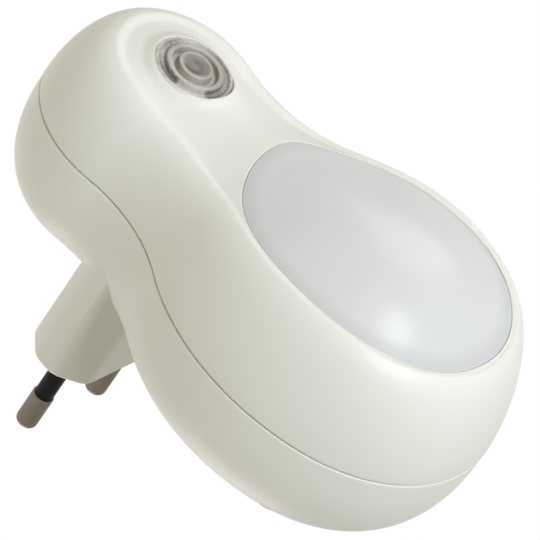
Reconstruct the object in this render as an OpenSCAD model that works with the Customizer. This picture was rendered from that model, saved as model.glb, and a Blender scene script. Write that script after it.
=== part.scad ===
// Plug-in night light: a pear-shaped case that hangs on a flat two-pin plug, with a frosted light
// dome in its large lobe and a dusk sensor behind a clear window in its small lobe. Millimetres.
// The origin is midway between the pins on the plug's end face. +Y points into the wall socket,
// +Z points up, and the front faces -Y. A depth is a distance from that end face towards -Y.

/* [Case outline] */
// Radius of the small upper lobe
small_lobe_r = 19.7; // [18.5:0.1:21]
// Turn of the outline over half of the small lobe, in degrees
small_lobe_turn = 102.5; // [98:0.5:106]
// Radius of the hollow waist
waist_r = 25.8; // [22:0.1:30]
// Turn of the outline back through the waist, in degrees
waist_turn = 47; // [42:0.5:51]
// Radius of the large lobe's flank
flank_r = 39.9; // [38:0.1:43]
// Turn of the outline along the flank, in degrees
flank_turn = 60.5; // [54:0.5:68]
// Height of the small lobe's centre above the pins
small_lobe_z = 15.4; // [14:0.1:17]

/* [Case depth] */
// Depth of the back cover's flat back, which is how far the plug stands out
plug_reach = 17.5; // [16:0.1:19]
// Depth of the back cover, from its flat back to the seam
back_depth = 19.5; // [18:0.1:22]
// Depth of the front cover over the small lobe, from the seam to the bead's crest
front_depth = 16.1; // [15:0.1:18]
// Further depth of the front over the middle of the large lobe
front_rise = 4.5; // [3:0.1:6]
// Radius of the front's curve over the large lobe, seen from the side
front_curve_r = 120; // [100:1:160]
// Height at which the front stands out furthest
front_crown_z = -43; // [-46:0.5:-38]
// Length over which the small lobe's front runs into that curve
front_blend = 1.2; // [0.6:0.1:2.4]
// Inset of the bead's crest from the case outline
shoulder = 7; // [6:0.1:7.4]
// Fullness of the front flank at the small lobe, where 2 is an ellipse
flank_fullness_small = 1.87; // [1.6:0.01:2.2]
// Fullness of the front flank at the large lobe
flank_fullness_large = 1.6; // [1.5:0.01:2]
// Inset of the flat back from the case outline
back_round = 9; // [7:0.1:10]
// Depth over which the back cover's corner rounds
back_round_depth = 16.5; // [12:0.1:17.5]
// Fullness of that corner, where 2 is an ellipse
back_fullness = 2.08; // [1.9:0.01:2.4]

/* [Walls] */
// Wall of both covers
wall = 2; // [1.6:0.1:2.4]
// Thickness of the front cover at its panel
panel_wall = 3; // [2.6:0.1:3.4]
// Width of the shadow line at the seam
seam_gap = 0.35; // [0.2:0.05:0.6]
// Depth of that shadow line
seam_groove = 0.6; // [0.4:0.1:0.8]
// Height of the back cover's lip inside the front cover
lip_height = 2; // [1.2:0.1:3]
// Thickness of that lip
lip_wall = 0.9; // [0.7:0.05:1]
// Play between the lip and the front cover
lip_gap = 0.1; // [0.05:0.05:0.2]

/* [Front panel] */
// Width of the bead round the small lobe
bead_w = 1.6; // [1:0.1:2]
// Width of the bead beside the light dome
lens_bead_w = 0.5; // [0.4:0.05:0.6]
// Depth of the panel below the bead's crest
panel_sink = 0.5; // [0.3:0.05:0.8]
// Height of the panel's crown at the small lobe
panel_crown = 1.5; // [0.5:0.1:2]
// Height that the crown grows to beside the light dome's upper end
neck_crown = 4.6; // [3.6:0.1:5]

/* [Light dome] */
// Distance from the case's side to the dome
lens_side = 8.3; // [8:0.1:11]
// Distance from the case's lower end to the dome
lens_below = 8.7; // [8.4:0.1:11]
// Height of the dome's upper end
lens_top = -5.7; // [-8:0.1:-4.6]
// Squareness of the dome's outline, where 2 is an ellipse
lens_squareness = 2.12; // [2:0.01:2.3]
// Share by which the dome's outline narrows upwards
lens_taper = 0.03; // [0:0.005:0.06]
// Height of the dome above its rim
dome_h = 5; // [3:0.1:7]
// Depth of the dome's rim below the bead's crest
lens_sink = 0.5; // [0.2:0.05:0.6]
// Wall of the dome
lens_wall = 1.6; // [1.2:0.1:2]
// Play round the dome in its opening
lens_gap = 0.2; // [0.15:0.05:0.3]
// Width of the dome's flange behind the panel
lens_flange_w = 0.9; // [0.6:0.1:1]
// Thickness of that flange
lens_flange = 1; // [0.8:0.1:1.2]
// Play between the flange and the panel
flange_gap = 0.05; // [0.02:0.01:0.1]

/* [Sensor] */
// Height of the sensor above the pins
sensor_z = 14.2; // [13.4:0.1:14.6]
// Radius of the clear window
window_r = 7.3; // [6.6:0.1:7.6]
// Height of the window's face above the bead's crest
window_stand = 1.9; // [1.5:0.1:2.3]
// Thickness of the window's outer ring
window_ring = 1.6; // [1.2:0.1:2]
// Radius of the window's spigot in the panel
spigot_r = 6; // [5.4:0.1:6.4]
// Height of the window's raised ring and middle above its face
window_relief = 0.4; // [0.2:0.05:0.6]
// Depth of the grooves round them
window_groove = 0.6; // [0.3:0.05:0.8]
// Play round the window
window_gap = 0.12; // [0.05:0.01:0.2]
// Radius of the sensor's body
sensor_r = 2.55; // [2.2:0.05:2.8]
// Wall of the black tube round the sensor
tube_wall = 1; // [0.8:0.1:1.2]
// Gap between the tube and the window
tube_gap = 0.3; // [0.2:0.05:0.6]
// Thickness of the sensor's body
sensor_t = 2.1; // [1.6:0.1:2.5]
// Distance of the sensor's face behind the tube's front end
sensor_inset = 0.5; // [0.2:0.1:2]

/* [Plug] */
// Width of the plug's body across its points
plug_w = 35.3; // [34.5:0.1:36]
// Height of the plug's body
plug_h = 13.7; // [13:0.1:14.4]
// Width of the plug's flat top and bottom
plug_flat_w = 26.1; // [25.5:0.1:27]
// Height of the plug's flat ends
plug_end_h = 4.5; // [3:0.1:6]
// Radius of the plug's upright edges
plug_edge_r = 1.2; // [0.6:0.1:1.8]
// Distance between the pins
pin_pitch = 19; // [18.5:0.1:19.5]
// Radius of a pin's bare tip
pin_r = 2; // [1.9:0.05:2.1]
// Reach of a pin beyond the plug's end face
pin_reach = 19; // [18:0.1:20]
// Radius of the rounding at a pin's end
pin_nose_r = 1.1; // [0.6:0.1:1.5]
// Reach of the black sleeve beyond the plug's end face
sleeve_reach = 11.2; // [10:0.1:12]
// Radius of the sleeve
sleeve_r = 1.75; // [1.65:0.05:1.85]
// Wall of the sleeve
sleeve_wall = 0.45; // [0.3:0.05:0.5]
// Length of the sleeve that is sunk in the plug
sleeve_root = 4; // [2:0.1:6]
// Length of a pin's tail inside the case
pin_tail = 4; // [3:0.1:5]
// Radius of that tail
tail_r = 1.6; // [1.3:0.05:1.8]
// Depth of the solder cup in that tail
cup_depth = 2; // [1:0.1:2.5]
// Wall between a pin and the pocket in the plug
pin_wall = 2; // [1.5:0.1:3]
// Thickness of the plug's end, in front of that pocket
plug_end_t = 3; // [2:0.1:5]
// Height of the plug's walls inside the case
collar_h = 5.5; // [5:0.1:6]
// Play round what is pressed or screwed in
press_gap = 0.02; // [0.01:0.01:0.04]

/* [Circuit board] */
// Width of the board
board_w = 24; // [23:0.1:26]
// Height of the board's top edge
board_top = 19.4; // [18.8:0.1:19.6]
// Height of the board's bottom edge
board_bottom = -51.5; // [-53:0.5:-51]
// Thickness of the board
board_t = 1.6; // [1.2:0.1:1.8]
// Depth of the board's rear face
board_depth = 39; // [38.5:0.1:40]
// Radius of the board's corners
board_corner_r = 3; // [1:0.1:4]
// Offset of the board screws to each side
board_screw_x = 8.5; // [8.3:0.1:9]
// Height of the upper board screw
board_screw_top = 12; // [11:0.1:12.5]
// Height of the lower board screw
board_screw_low = -47; // [-48:0.1:-46]
// Play of a leg or a screw in its hole
hole_gap = 0.15; // [0.1:0.05:0.25]

/* [LEDs] */
// Radius of an LED's dome
led_r = 2.5; // [1.5:0.1:2.6]
// Height of an LED from the board to its tip
led_h = 8.6; // [6:0.1:9]
// Half of the distance between LED columns
led_half_w = 7.5; // [7:0.1:8.5]
// Half of the distance between LED rows
led_half_h = 10; // [9.5:0.1:11]

/* [Dropper capacitor] */
// Width of the dropper capacitor
film_w = 18; // [15:0.1:20]
// Thickness of the dropper capacitor
film_t = 7.5; // [6:0.1:8]
// Height of the dropper capacitor above the board
film_h = 13.5; // [11:0.1:15]

/* [Smoothing capacitor] */
// Radius of the smoothing capacitor
smooth_r = 4; // [3:0.1:4.2]
// Height of the smoothing capacitor above the board
smooth_h = 11.5; // [8:0.1:12.5]

/* [Rectifier and transistor] */
// Width of the bridge rectifier
bridge_w = 8.5; // [7:0.1:9]
// Height of the bridge rectifier along the board
bridge_l = 6.4; // [5:0.1:6.6]
// Thickness of the bridge rectifier
bridge_t = 3.3; // [2.5:0.1:4]
// Radius of the transistor's case
transistor_r = 2.3; // [2:0.1:2.5]
// Height of the transistor's case
transistor_h = 4.8; // [4:0.1:5.2]

/* [Resistors] */
// Radius of the fusible resistor
fuse_r = 1.6; // [1.2:0.1:1.8]
// Length of the fusible resistor
fuse_l = 9; // [7:0.1:9.5]
// Radius of the two small resistors
resistor_r = 1.2; // [0.9:0.1:1.3]
// Length of the two small resistors
resistor_l = 6.4; // [5:0.1:6.6]
// Radius of a component's leg
leg_r = 0.3; // [0.25:0.05:0.4]
// Length of a leg's end behind its hole
leg_end = 1.5; // [1:0.1:2]
// Length of a resistor's leg before it bends down
leg_run = 0.7; // [0.5:0.05:0.9]
// Distance between neighbouring legs of an LED or the transistor
leg_pitch = 2.54; // [2.2:0.01:2.8]

/* [Wires] */
// Radius of an insulated wire
wire_r = 0.8; // [0.6:0.05:1]
// Radius of a wire's two bends
wire_bend_r = 3.5; // [3:0.1:4]

/* [Screws] */
// Depth of the wells for the cover screws
well_depth = 10; // [8:0.1:11]
// Radius of those wells
well_r = 3; // [2.8:0.1:3.2]
// Wall of the bosses and posts
boss_wall = 1.4; // [1.2:0.1:1.6]
// Thickness of the seat under a cover screw's head
seat_t = 2; // [1.5:0.1:2.5]
// Radius of a screw's thread
thread_r = 1.25; // [1.1:0.05:1.35]
// Radius of a screw's head
head_r = 2.3; // [2.1:0.1:2.6]
// Height of a screw's head
head_h = 1.7; // [1.4:0.1:2]
// Length of a cover screw under its head
cover_screw_l = 12; // [9:0.1:14]
// Length of a board screw under its head
board_screw_l = 7; // [5:0.1:9]
// Width of the cross recess in a screw's head
recess_w = 0.7; // [0.5:0.05:0.9]
// Depth of that recess
recess_depth = 1; // [0.6:0.05:1.2]
// Spare length of a pilot hole beyond its screw
pilot_spare = 1.5; // [0.5:0.1:3]
// Thickness of the webs that tie the lower posts to the case
web_t = 1.6; // [1.2:0.1:2.4]
// Distance of the lower posts' ends behind the dome's flange
low_post_gap = 1.2; // [0.6:0.1:3]
// Height of the top cover screw
top_screw_z = 24; // [23.7:0.1:24.4]
// Offset of the lower cover screws to each side
low_screw_x = 17.3; // [16.8:0.1:17.8]
// Height of the lower cover screws
low_screw_z = -46; // [-47:0.1:-45]

/* [Hidden] */
$fn = 48;

// Segments of each arc of the half outline: small lobe, waist, flank, bottom
arc_steps = [12, 7, 10, 8];
flank_steps = 9;
panel_steps = 6;
dome_steps = 8;
eps = 0.01;

seam_depth = plug_reach + back_depth;
small_front = seam_depth + front_depth;
floor_depth = plug_reach + wall;
window_depth = small_front + window_stand;
board_front = board_depth + board_t;
// Inset that the flank's inner side leaves free for the dome's flange
flange_room = 0.4;
inner_shoulder = shoulder - flange_room;
// Exponent of the light dome's section
dome_power = 2.2;
// Radius of the rounding on moulded components, and of small edges
soft_r = 0.8;
edge_r = 0.2;

// ---- case outline: four arcs that run into each other, as [x, z, outward heading] ----

// Unit vector at a heading that turns from +Z towards +X.
function away(turn) = [sin(turn), cos(turn)];

// Stations on an arc between two headings. The curve is hollow where its radius is negative.
function arc_stations(centre, radius, from, to, steps) = [
    for (i = [1:steps])
        let (turn = from + (to - from)*i/steps, p = centre + radius*away(turn))
        [p.x, p.y, turn]
];

turn_1 = small_lobe_turn;
turn_2 = turn_1 - waist_turn;
turn_3 = turn_2 + flank_turn;
small_centre = [0, small_lobe_z];
waist_centre = small_centre + (small_lobe_r + waist_r)*away(turn_1);
flank_centre = waist_centre - (waist_r + flank_r)*away(turn_2);
flank_end = flank_centre + flank_r*away(turn_3);
bottom_r = flank_end.x/sin(turn_3);
bottom_centre = flank_end - bottom_r*away(turn_3);

half_outline = concat(
    [[0, small_lobe_z + small_lobe_r, 0]],
    arc_stations(small_centre, small_lobe_r, 0, turn_1, arc_steps[0]),
    arc_stations(waist_centre, -waist_r, turn_1, turn_2, arc_steps[1]),
    arc_stations(flank_centre, flank_r, turn_2, turn_3, arc_steps[2]),
    arc_stations(bottom_centre, bottom_r, turn_3, 180, arc_steps[3])
);
outline = concat(
    half_outline,
    [for (i = [len(half_outline) - 2:-1:1])
        [-half_outline[i][0], half_outline[i][1], -half_outline[i][2]]]
);

// A point of the outline, moved inwards.
function inset_point(station, inset) =
    [station[0] - inset*sin(station[2]), station[1] - inset*cos(station[2])];

// A ring round the case at one inset and one depth.
function flat_ring(inset, depth) = [
    for (s = outline) let (p = inset_point(s, inset)) [p.x, -depth, p.y]
];

// ---- the front's surface ----

function mix(a, b, t) = a + (b - a)*t;
function smooth(t) = let (c = min(1, max(0, t))) c*c*(3 - 2*c);
// 0 on the small lobe and 1 on the large one
lobe_blend_top = 8;
lobe_blend = 40;
function large_share(z) = smooth((lobe_blend_top - z)/lobe_blend);

// Depth of the bead's crest at a height: level over the small lobe, then a wide curve.
function crest_depth(z) =
    let (rise = front_rise - pow(z - front_crown_z, 2)/(2*front_curve_r))
    small_front + (rise + sqrt(rise*rise + front_blend*front_blend))/2;

// How far the panel's face stands over its level: a crown, round on the small lobe, wider and higher
// below it, where it carries the light dome's upper end, and gone at the dome's lower end.
crown_r = small_lobe_r - shoulder - bead_w;
crown_low_r = flank_centre.x + flank_r - shoulder - lens_bead_w;
crown_widen_top = 5;
crown_widen = 33;
neck_top = 0;
neck_length = 12;
crown_fade_top = -14;
crown_fade = 32;
function panel_rise(x, z) =
    let (
        half_w = mix(crown_r, crown_low_r, smooth((crown_widen_top - z)/crown_widen)),
        off = norm([x, max(0, z - small_lobe_z)])/half_w,
        crown = mix(panel_crown, neck_crown, smooth((neck_top - z)/neck_length))
    )
    crown*max(0, 1 - off*off)*(1 - smooth((crown_fade_top - z)/crown_fade));
function panel_depth(x, z) = crest_depth(z) - panel_sink + panel_rise(x, z);

// A ring of the flank, from the seam (0) over to the crest (1).
function flank_ring(share, inset_from, inset_to, depth_from, sink) = [
    for (s = outline)
        let (
            fullness = mix(flank_fullness_small, flank_fullness_large, large_share(s[1])),
            along = 1 - pow(cos(90*share), 2/fullness),
            up = pow(sin(90*share), 2/fullness),
            p = inset_point(s, mix(inset_from, inset_to, share == 1 ? 1 : along))
        )
        [p.x, -mix(depth_from, crest_depth(p.y) - sink, up), p.y]
];

// The bead's inner side narrows where it runs beside the light dome.
bead_blend_top = 2;
bead_blend = 16;
function bead_inset(station, share) =
    shoulder + share*mix(bead_w, lens_bead_w, smooth((bead_blend_top - station[1])/bead_blend));
function bead_ring(share, sink) = [
    for (s = outline)
        let (p = inset_point(s, bead_inset(s, share)))
        [p.x, -crest_depth(p.y) + sink, p.y]
];

// ---- the light dome's outline, grown all round by an offset ----

lens_low = bottom_centre.y - bottom_r + lens_below;
lens_half_w = flank_centre.x + flank_r - lens_side;
lens_half_h = (lens_top - lens_low)/2;
lens_z = (lens_top + lens_low)/2;

function lens_radius(direction, grow) =
    let (
        taper = 1 - lens_taper*sin(direction),
        across = abs(cos(direction))/((lens_half_w + grow)*taper),
        upright = abs(sin(direction))/(lens_half_h + grow)
    )
    pow(pow(across, lens_squareness) + pow(upright, lens_squareness), -1/lens_squareness);
function lens_point(direction, grow) =
    let (r = lens_radius(direction, grow)) [r*cos(direction), lens_z + r*sin(direction)];
function direction_of(station) = atan2(station[1] - lens_z, station[0]);

// The panel between the bead and the dome's opening, at its face and at its inner side.
function panel_ring(share) = [
    for (s = outline)
        let (
            foot = inset_point(s, bead_inset(s, 1)),
            edge = lens_point(direction_of(s), lens_gap),
            p = mix(foot, edge, share)
        )
        [p.x, -panel_depth(p.x, p.y), p.y]
];
function inner_panel_ring(share) = [
    for (s = outline)
        let (
            foot = inset_point(s, inner_shoulder),
            edge = lens_point(direction_of(s), lens_gap),
            p = mix(foot, edge, share)
        )
        [p.x, -crest_depth(p.y) + panel_wall, p.y]
];

// A skin over rings of equal length. It closes on itself, or ends in two fans.
module skin(rings, closed = false) {
    n = len(rings[0]);
    m = len(rings);
    walls = [
        for (i = [0:closed ? m - 1 : m - 2], j = [0:n - 1])
            let (a = i*n + j, b = i*n + (j + 1)%n, c = (i + 1)%m*n + j, d = (i + 1)%m*n + (j + 1)%n)
            each [[a, b, d], [a, d, c]]
    ];
    ends = closed ? [] : [
        for (j = [0:n - 1])
            each [[(j + 1)%n, j, m*n], [(m - 1)*n + j, (m - 1)*n + (j + 1)%n, m*n + 1]]
    ];
    poles = closed ? [] : [middle(rings[0]), middle(rings[m - 1])];
    polyhedron(concat([for (ring = rings) each ring], poles), concat(walls, ends));
}
function middle(ring) = [for (k = [0:2]) total([for (p = ring) p[k]])/len(ring)];
function total(values) = values*[for (v = values) 1];

// ---- outlines with rounded corners ----

function unit(v) = v/norm(v);
function corner_arc(before, corner, after, r, steps) =
    let (
        u = unit(before - corner),
        v = unit(after - corner),
        half = acos(u*v)/2,
        centre = corner + unit(u + v)*r/sin(half),
        start = corner + u*r/tan(half) - centre,
        end = corner + v*r/tan(half) - centre
    )
    [for (i = [0:steps]) centre + r*unit(mix(start, end, i/steps))];
function rounded(corners, r, steps = 4) =
    let (n = len(corners))
    [for (i = [0:n - 1]) each corner_arc(corners[(i + n - 1)%n], corners[i], corners[(i + 1)%n], r, steps)];
function rectangle(left, right, low, high) = [[left, high], [right, high], [right, low], [left, low]];

// ---- placing ----

// Turns +Z to point at the wall, at a place on the case and a depth.
module facing_wall(x, z, depth) {
    translate([x, -depth, z]) rotate([-90, 0, 0]) children();
}
// Turns +Z to point out of the front.
module facing_front(x, z, depth) {
    translate([x, -depth, z]) rotate([90, 0, 0]) children();
}

cover_screw_places = [[0, top_screw_z], [low_screw_x, low_screw_z], [-low_screw_x, low_screw_z]];
board_screw_places = [[board_screw_x, board_screw_top], [-board_screw_x, board_screw_low]];
led_places = [
    for (x = [-led_half_w, led_half_w], z = [lens_z + led_half_h, lens_z - led_half_h]) [x, z]
];

// ---- front cover ----

rebate_inset = wall - lip_wall - lip_gap;
rebate_depth = seam_depth + lip_height + lip_gap;
boss_depth = plug_reach + well_depth + seat_t;
post_r = thread_r + boss_wall;
pilot_r = thread_r + press_gap;
low_crest = crest_depth(low_screw_z);
top_post_depth = small_front - panel_wall/2;
low_post_depth = low_crest - panel_wall - lens_flange - low_post_gap;

module front_shell() {
    skin(concat(
        [flat_ring(seam_groove, seam_depth)],
        [flat_ring(seam_groove, seam_depth + seam_gap)],
        [for (i = [0:flank_steps]) flank_ring(i/flank_steps, 0, shoulder, seam_depth + seam_gap, 0)],
        [bead_ring(0.45, 0.3*panel_sink)],
        [for (i = [0:panel_steps]) panel_ring(i/panel_steps)],
        [for (i = [panel_steps:-2:0]) inner_panel_ring(i/panel_steps)],
        [for (i = [flank_steps - 2:-1:0])
            flank_ring(i/(flank_steps - 1), wall, inner_shoulder, rebate_depth, panel_wall)],
        [flat_ring(rebate_inset, rebate_depth)],
        [flat_ring(rebate_inset, seam_depth)]
    ), closed = true);
}

// A web ties a lower post to the flank. Its outer edge runs along the middle of the flank's wall.
web_reach = norm([low_screw_x, low_screw_z - bottom_centre.y]);
web_turn = atan2(low_screw_z - bottom_centre.y, low_screw_x);
web_edge = [
    for (i = [0:flank_steps])
        let (share = i/flank_steps, power = 2/flank_fullness_large)
        [
            bottom_r - wall/2 - shoulder*(1 - pow(cos(90*share), power)),
            mix(seam_depth, low_crest, pow(sin(90*share), power))
        ]
];
module post_web() {
    translate([bottom_centre.x, 0, bottom_centre.y])
        rotate([0, -web_turn, 0])
            translate([0, 0, -web_t/2])
                linear_extrude(web_t)
                    mirror([0, 1]) intersection() {
                        polygon(concat(web_edge, [[web_reach, low_crest], [web_reach, seam_depth]]));
                        translate([web_reach, rebate_depth + lip_gap])
                            square([bottom_r - web_reach, low_post_depth - rebate_depth - lip_gap]);
                    }
}

module window_opening() {
    facing_front(0, sensor_z, board_front)
        cylinder(h = window_depth - board_front, r = spigot_r + window_gap);
    facing_front(0, sensor_z, window_depth - window_ring)
        cylinder(h = window_ring + panel_crown, r = window_r + window_gap);
}

module front_cover() {
    color("ivory") difference() {
        union() {
            front_shell();
            for (place = cover_screw_places)
                facing_front(place.x, place.y, boss_depth)
                    cylinder(h = (place.x == 0 ? top_post_depth : low_post_depth) - boss_depth, r = post_r);
            post_web();
            mirror([1, 0, 0]) post_web();
        }
        for (place = cover_screw_places)
            facing_front(place.x, place.y, boss_depth - eps)
                cylinder(h = cover_screw_l - seat_t + pilot_spare, r = pilot_r);
        window_opening();
    }
}

// ---- back cover and plug ----

back_curve_depth = plug_reach + back_round_depth;
function back_ring(share, extra, flat_depth) = flat_ring(
    extra + back_round*(1 - pow(cos(90*share), 2/back_fullness)),
    mix(back_curve_depth, flat_depth, pow(sin(90*share), 2/back_fullness))
);

module back_shell() {
    skin(concat(
        [for (i = [flank_steps:-1:0]) back_ring(i/flank_steps, 0, plug_reach)],
        [flat_ring(0, seam_depth)],
        [flat_ring(wall - lip_wall, seam_depth)],
        [flat_ring(wall - lip_wall, seam_depth + lip_height)],
        [flat_ring(wall, seam_depth + lip_height)],
        [for (i = [0:flank_steps]) back_ring(i/flank_steps, wall, floor_depth)]
    ));
}

// The plug's eight-sided outline, moved inwards all round.
plug_slope = atan2(plug_h - plug_end_h, plug_w - plug_flat_w);
function plug_corners(inset) =
    let (
        x1 = plug_flat_w/2 - inset*tan(plug_slope/2),
        z1 = plug_h/2 - inset,
        x2 = plug_w/2 - inset,
        z2 = plug_end_h/2 - inset*tan((90 - plug_slope)/2)
    )
    [[x1, z1], [x2, z2], [x2, -z2], [x1, -z1], [-x1, -z1], [-x2, -z2], [-x2, z2], [-x1, z1]];

collar_depth = floor_depth + collar_h;
neck_r = sleeve_r - sleeve_wall;
sleeve_bore_r = neck_r + press_gap;
pin_bore_r = pin_r + press_gap;

module plug_body() {
    facing_front(0, 0, 0) linear_extrude(collar_depth) polygon(rounded(plug_corners(0), plug_edge_r));
}

module plug_hollows() {
    pocket_w = pin_pitch - 2*(pin_bore_r + pin_wall);
    pocket_h = plug_h - 2*wall;
    facing_front(0, 0, floor_depth) linear_extrude(collar_h + eps) polygon(plug_corners(wall));
    facing_front(0, 0, plug_end_t)
        translate([-pocket_w/2, -pocket_h/2, 0])
            cube([pocket_w, pocket_h, floor_depth - plug_end_t + eps]);
    for (side = [-1, 1]) {
        facing_front(side*pin_pitch/2, 0, -eps)
            cylinder(h = sleeve_root + 2*eps, r = sleeve_r + press_gap);
        facing_front(side*pin_pitch/2, 0, sleeve_root)
            cylinder(h = floor_depth - sleeve_root + eps, r = pin_bore_r);
    }
}

module back_cover() {
    color("ivory") difference() {
        union() {
            back_shell();
            plug_body();
            for (place = cover_screw_places)
                facing_front(place.x, place.y, floor_depth - eps)
                    cylinder(h = boss_depth - floor_depth + eps, r = well_r + boss_wall);
            for (place = board_screw_places)
                facing_front(place.x, place.y, floor_depth - eps)
                    cylinder(h = board_depth - floor_depth + eps, r = post_r);
        }
        plug_hollows();
        for (place = cover_screw_places) {
            facing_front(place.x, place.y, plug_reach - wall)
                cylinder(h = well_depth + wall, r = well_r);
            facing_front(place.x, place.y, boss_depth - seat_t - eps)
                cylinder(h = seat_t + 2*eps, r = thread_r + hole_gap);
        }
        for (place = board_screw_places)
            facing_wall(place.x, place.y, board_depth + eps)
                cylinder(h = board_screw_l - board_t + pilot_spare, r = pilot_r);
    }
}

// ---- light dome ----

// A ring of the dome's outline at a share of its radius, raised over the crest's level, and lifted
// by a share of the panel's rise beside it.
function lens_ring(share, grow, raise, lift = 0) = [
    for (s = outline)
        let (
            direction = direction_of(s),
            rim = lens_point(direction, 0),
            r = share*lens_radius(direction, grow),
            z = lens_z + r*sin(direction)
        )
        [r*cos(direction), -crest_depth(z) - raise - lift*panel_rise(rim.x, rim.y), z]
];
function dome_height(share) = dome_h*(1 - pow(share, dome_power)) - lens_sink;
function dome_share(i) = sin(90*(i + 0.4)/(dome_steps + 0.4));
function dome_ring(i, grow, drop) =
    let (share = dome_share(i))
    lens_ring(share, grow, dome_height(share) - drop, share*share);

module lens() {
    flange_front = -panel_wall - flange_gap;
    flange_back = flange_front - lens_flange;
    color([0.92, 0.93, 0.94]) skin(concat(
        [for (i = [0:dome_steps]) dome_ring(i, -lens_wall, lens_wall)],
        [lens_ring(1, -lens_wall, flange_back)],
        [lens_ring(1, lens_gap + lens_flange_w, flange_back)],
        [lens_ring(1, lens_gap + lens_flange_w, flange_front)],
        [lens_ring(1, 0, flange_front)],
        [for (i = [dome_steps:-1:0]) dome_ring(i, 0, 0)]
    ));
}

// ---- dusk sensor ----

window_back = small_front - panel_wall;
tube_end = window_back - tube_gap;
tube_inner_r = sensor_r + hole_gap;
tube_r = tube_inner_r + tube_wall;
sensor_face = tube_end - sensor_inset;

// Half of the window's section, with its grooves at shares of its radius.
function window_profile() =
    let (r = window_r, low = -window_groove, up = window_relief)
    concat(
        [[0, window_back - window_depth], [spigot_r, window_back - window_depth]],
        [[spigot_r, -window_ring], [r, -window_ring], [r, -edge_r], [r - edge_r, 0], [0.87*r, 0]],
        [[0.85*r, low], [0.75*r, low], [0.73*r, up], [0.63*r, up], [0.6*r, low], [0.48*r, low]],
        [for (i = [0:5]) [0.46*r*cos(18*i), (up - low/4)*sin(18*i) + low/4]]
    );

module sensor_window() {
    color([0.78, 0.79, 0.78]) facing_front(0, sensor_z, window_depth)
        rotate_extrude() polygon(window_profile());
}

module sensor_tube() {
    color([0.1, 0.1, 0.1]) facing_front(0, sensor_z, board_front) difference() {
        cylinder(h = tube_end - board_front, r = tube_r);
        translate([0, 0, -eps]) cylinder(h = tube_end - board_front + 2*eps, r = tube_inner_r);
    }
}

module light_sensor() {
    color("maroon") {
        facing_front(0, sensor_z, sensor_face - sensor_t) cylinder(h = sensor_t, r = sensor_r);
        for (side = [-1, 1])
            facing_wall(side*leg_pitch/2, sensor_z, sensor_face - sensor_t)
                cylinder(h = sensor_face - sensor_t - board_depth + leg_end, r = leg_r);
    }
}

// ---- pins ----

// Half of a pin's section, with its height measured from the plug's end face towards the wall.
function pin_profile() = concat(
    [[0, -floor_depth - pin_tail + cup_depth], [wire_r + press_gap, -floor_depth - pin_tail + cup_depth]],
    [[wire_r + press_gap, -floor_depth - pin_tail], [tail_r, -floor_depth - pin_tail]],
    [[tail_r, -floor_depth], [pin_r, -floor_depth], [pin_r, -sleeve_root]],
    [[neck_r, -sleeve_root], [neck_r, sleeve_reach], [pin_r, sleeve_reach]],
    [for (i = [0:6])
        [pin_r - pin_nose_r*(1 - cos(15*i)), pin_reach - pin_nose_r*(1 - sin(15*i))]],
    [[0, pin_reach]]
);
module pin(side) {
    color([0.6, 0.57, 0.52]) facing_wall(side*pin_pitch/2, 0, 0) rotate_extrude() polygon(pin_profile());
}
module sleeve(side) {
    color([0.1, 0.1, 0.09]) facing_wall(side*pin_pitch/2, 0, sleeve_root) difference() {
        cylinder(h = sleeve_root + sleeve_reach, r = sleeve_r);
        translate([0, 0, -eps]) cylinder(h = sleeve_root + sleeve_reach + 2*eps, r = sleeve_bore_r);
    }
}

// ---- circuit board and what stands on it ----

wire_pad_z = -2*wire_bend_r;
film_z = -33;
smooth_z = -13;
bridge_z = -24;
fuse_place = [3, -47.5];
bleed_gap = 2;
bleed_place = [0, film_z - film_t/2 - bleed_gap - resistor_r];
bias_place = [-6, 4];
transistor_place = [3, 5];
// Insets of the legs from the component's edges
film_leg_inset = 1.5;
smooth_leg_inset = 0.25;
bridge_leg_inset = leg_r + 0.3;
film_leg = film_w/2 - film_leg_inset;
smooth_leg = smooth_r/2 - smooth_leg_inset;
bridge_leg = [bridge_w/2 - bridge_leg_inset, bridge_l/2 - bridge_leg_inset];
fuse_leg = fuse_l/2 + leg_run;
resistor_leg = resistor_l/2 + leg_run;

leg_places = concat(
    [for (p = led_places, side = [-1, 1]) p + [side*leg_pitch/2, 0]],
    [for (side = [-1, 1]) [side*leg_pitch/2, sensor_z]],
    [for (side = [-1, 1]) [side*film_leg, film_z]],
    [for (side = [-1, 1]) [side*smooth_leg, smooth_z]],
    [for (side = [-1, 1], up = [-1, 1]) [side*bridge_leg.x, bridge_z + up*bridge_leg.y]],
    [for (side = [-1, 1]) fuse_place + [side*fuse_leg, 0]],
    [for (side = [-1, 1]) bleed_place + [side*resistor_leg, 0]],
    [for (up = [-1, 1]) bias_place + [0, up*resistor_leg]],
    [for (k = [-1:1]) transistor_place + [k*leg_pitch/2, 0]],
    [for (side = [-1, 1]) [side*pin_pitch/2, wire_pad_z]]
);

module circuit_board() {
    color([0.1, 0.42, 0.2]) facing_front(0, 0, board_depth) difference() {
        linear_extrude(board_t)
            polygon(rounded(rectangle(-board_w/2, board_w/2, board_bottom, board_top), board_corner_r));
        for (p = leg_places)
            translate([p.x, p.y, -eps]) cylinder(h = board_t + 2*eps, r = leg_r + hole_gap);
        for (p = board_screw_places)
            translate([p.x, p.y, -eps]) cylinder(h = board_t + 2*eps, r = thread_r + hole_gap);
    }
}

// A component's legs, from the board's rear face through to the front.
module rear_legs(places) {
    for (p = places)
        facing_front(p.x, p.y, board_depth) cylinder(h = board_t + leg_end, r = leg_r);
}

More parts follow.
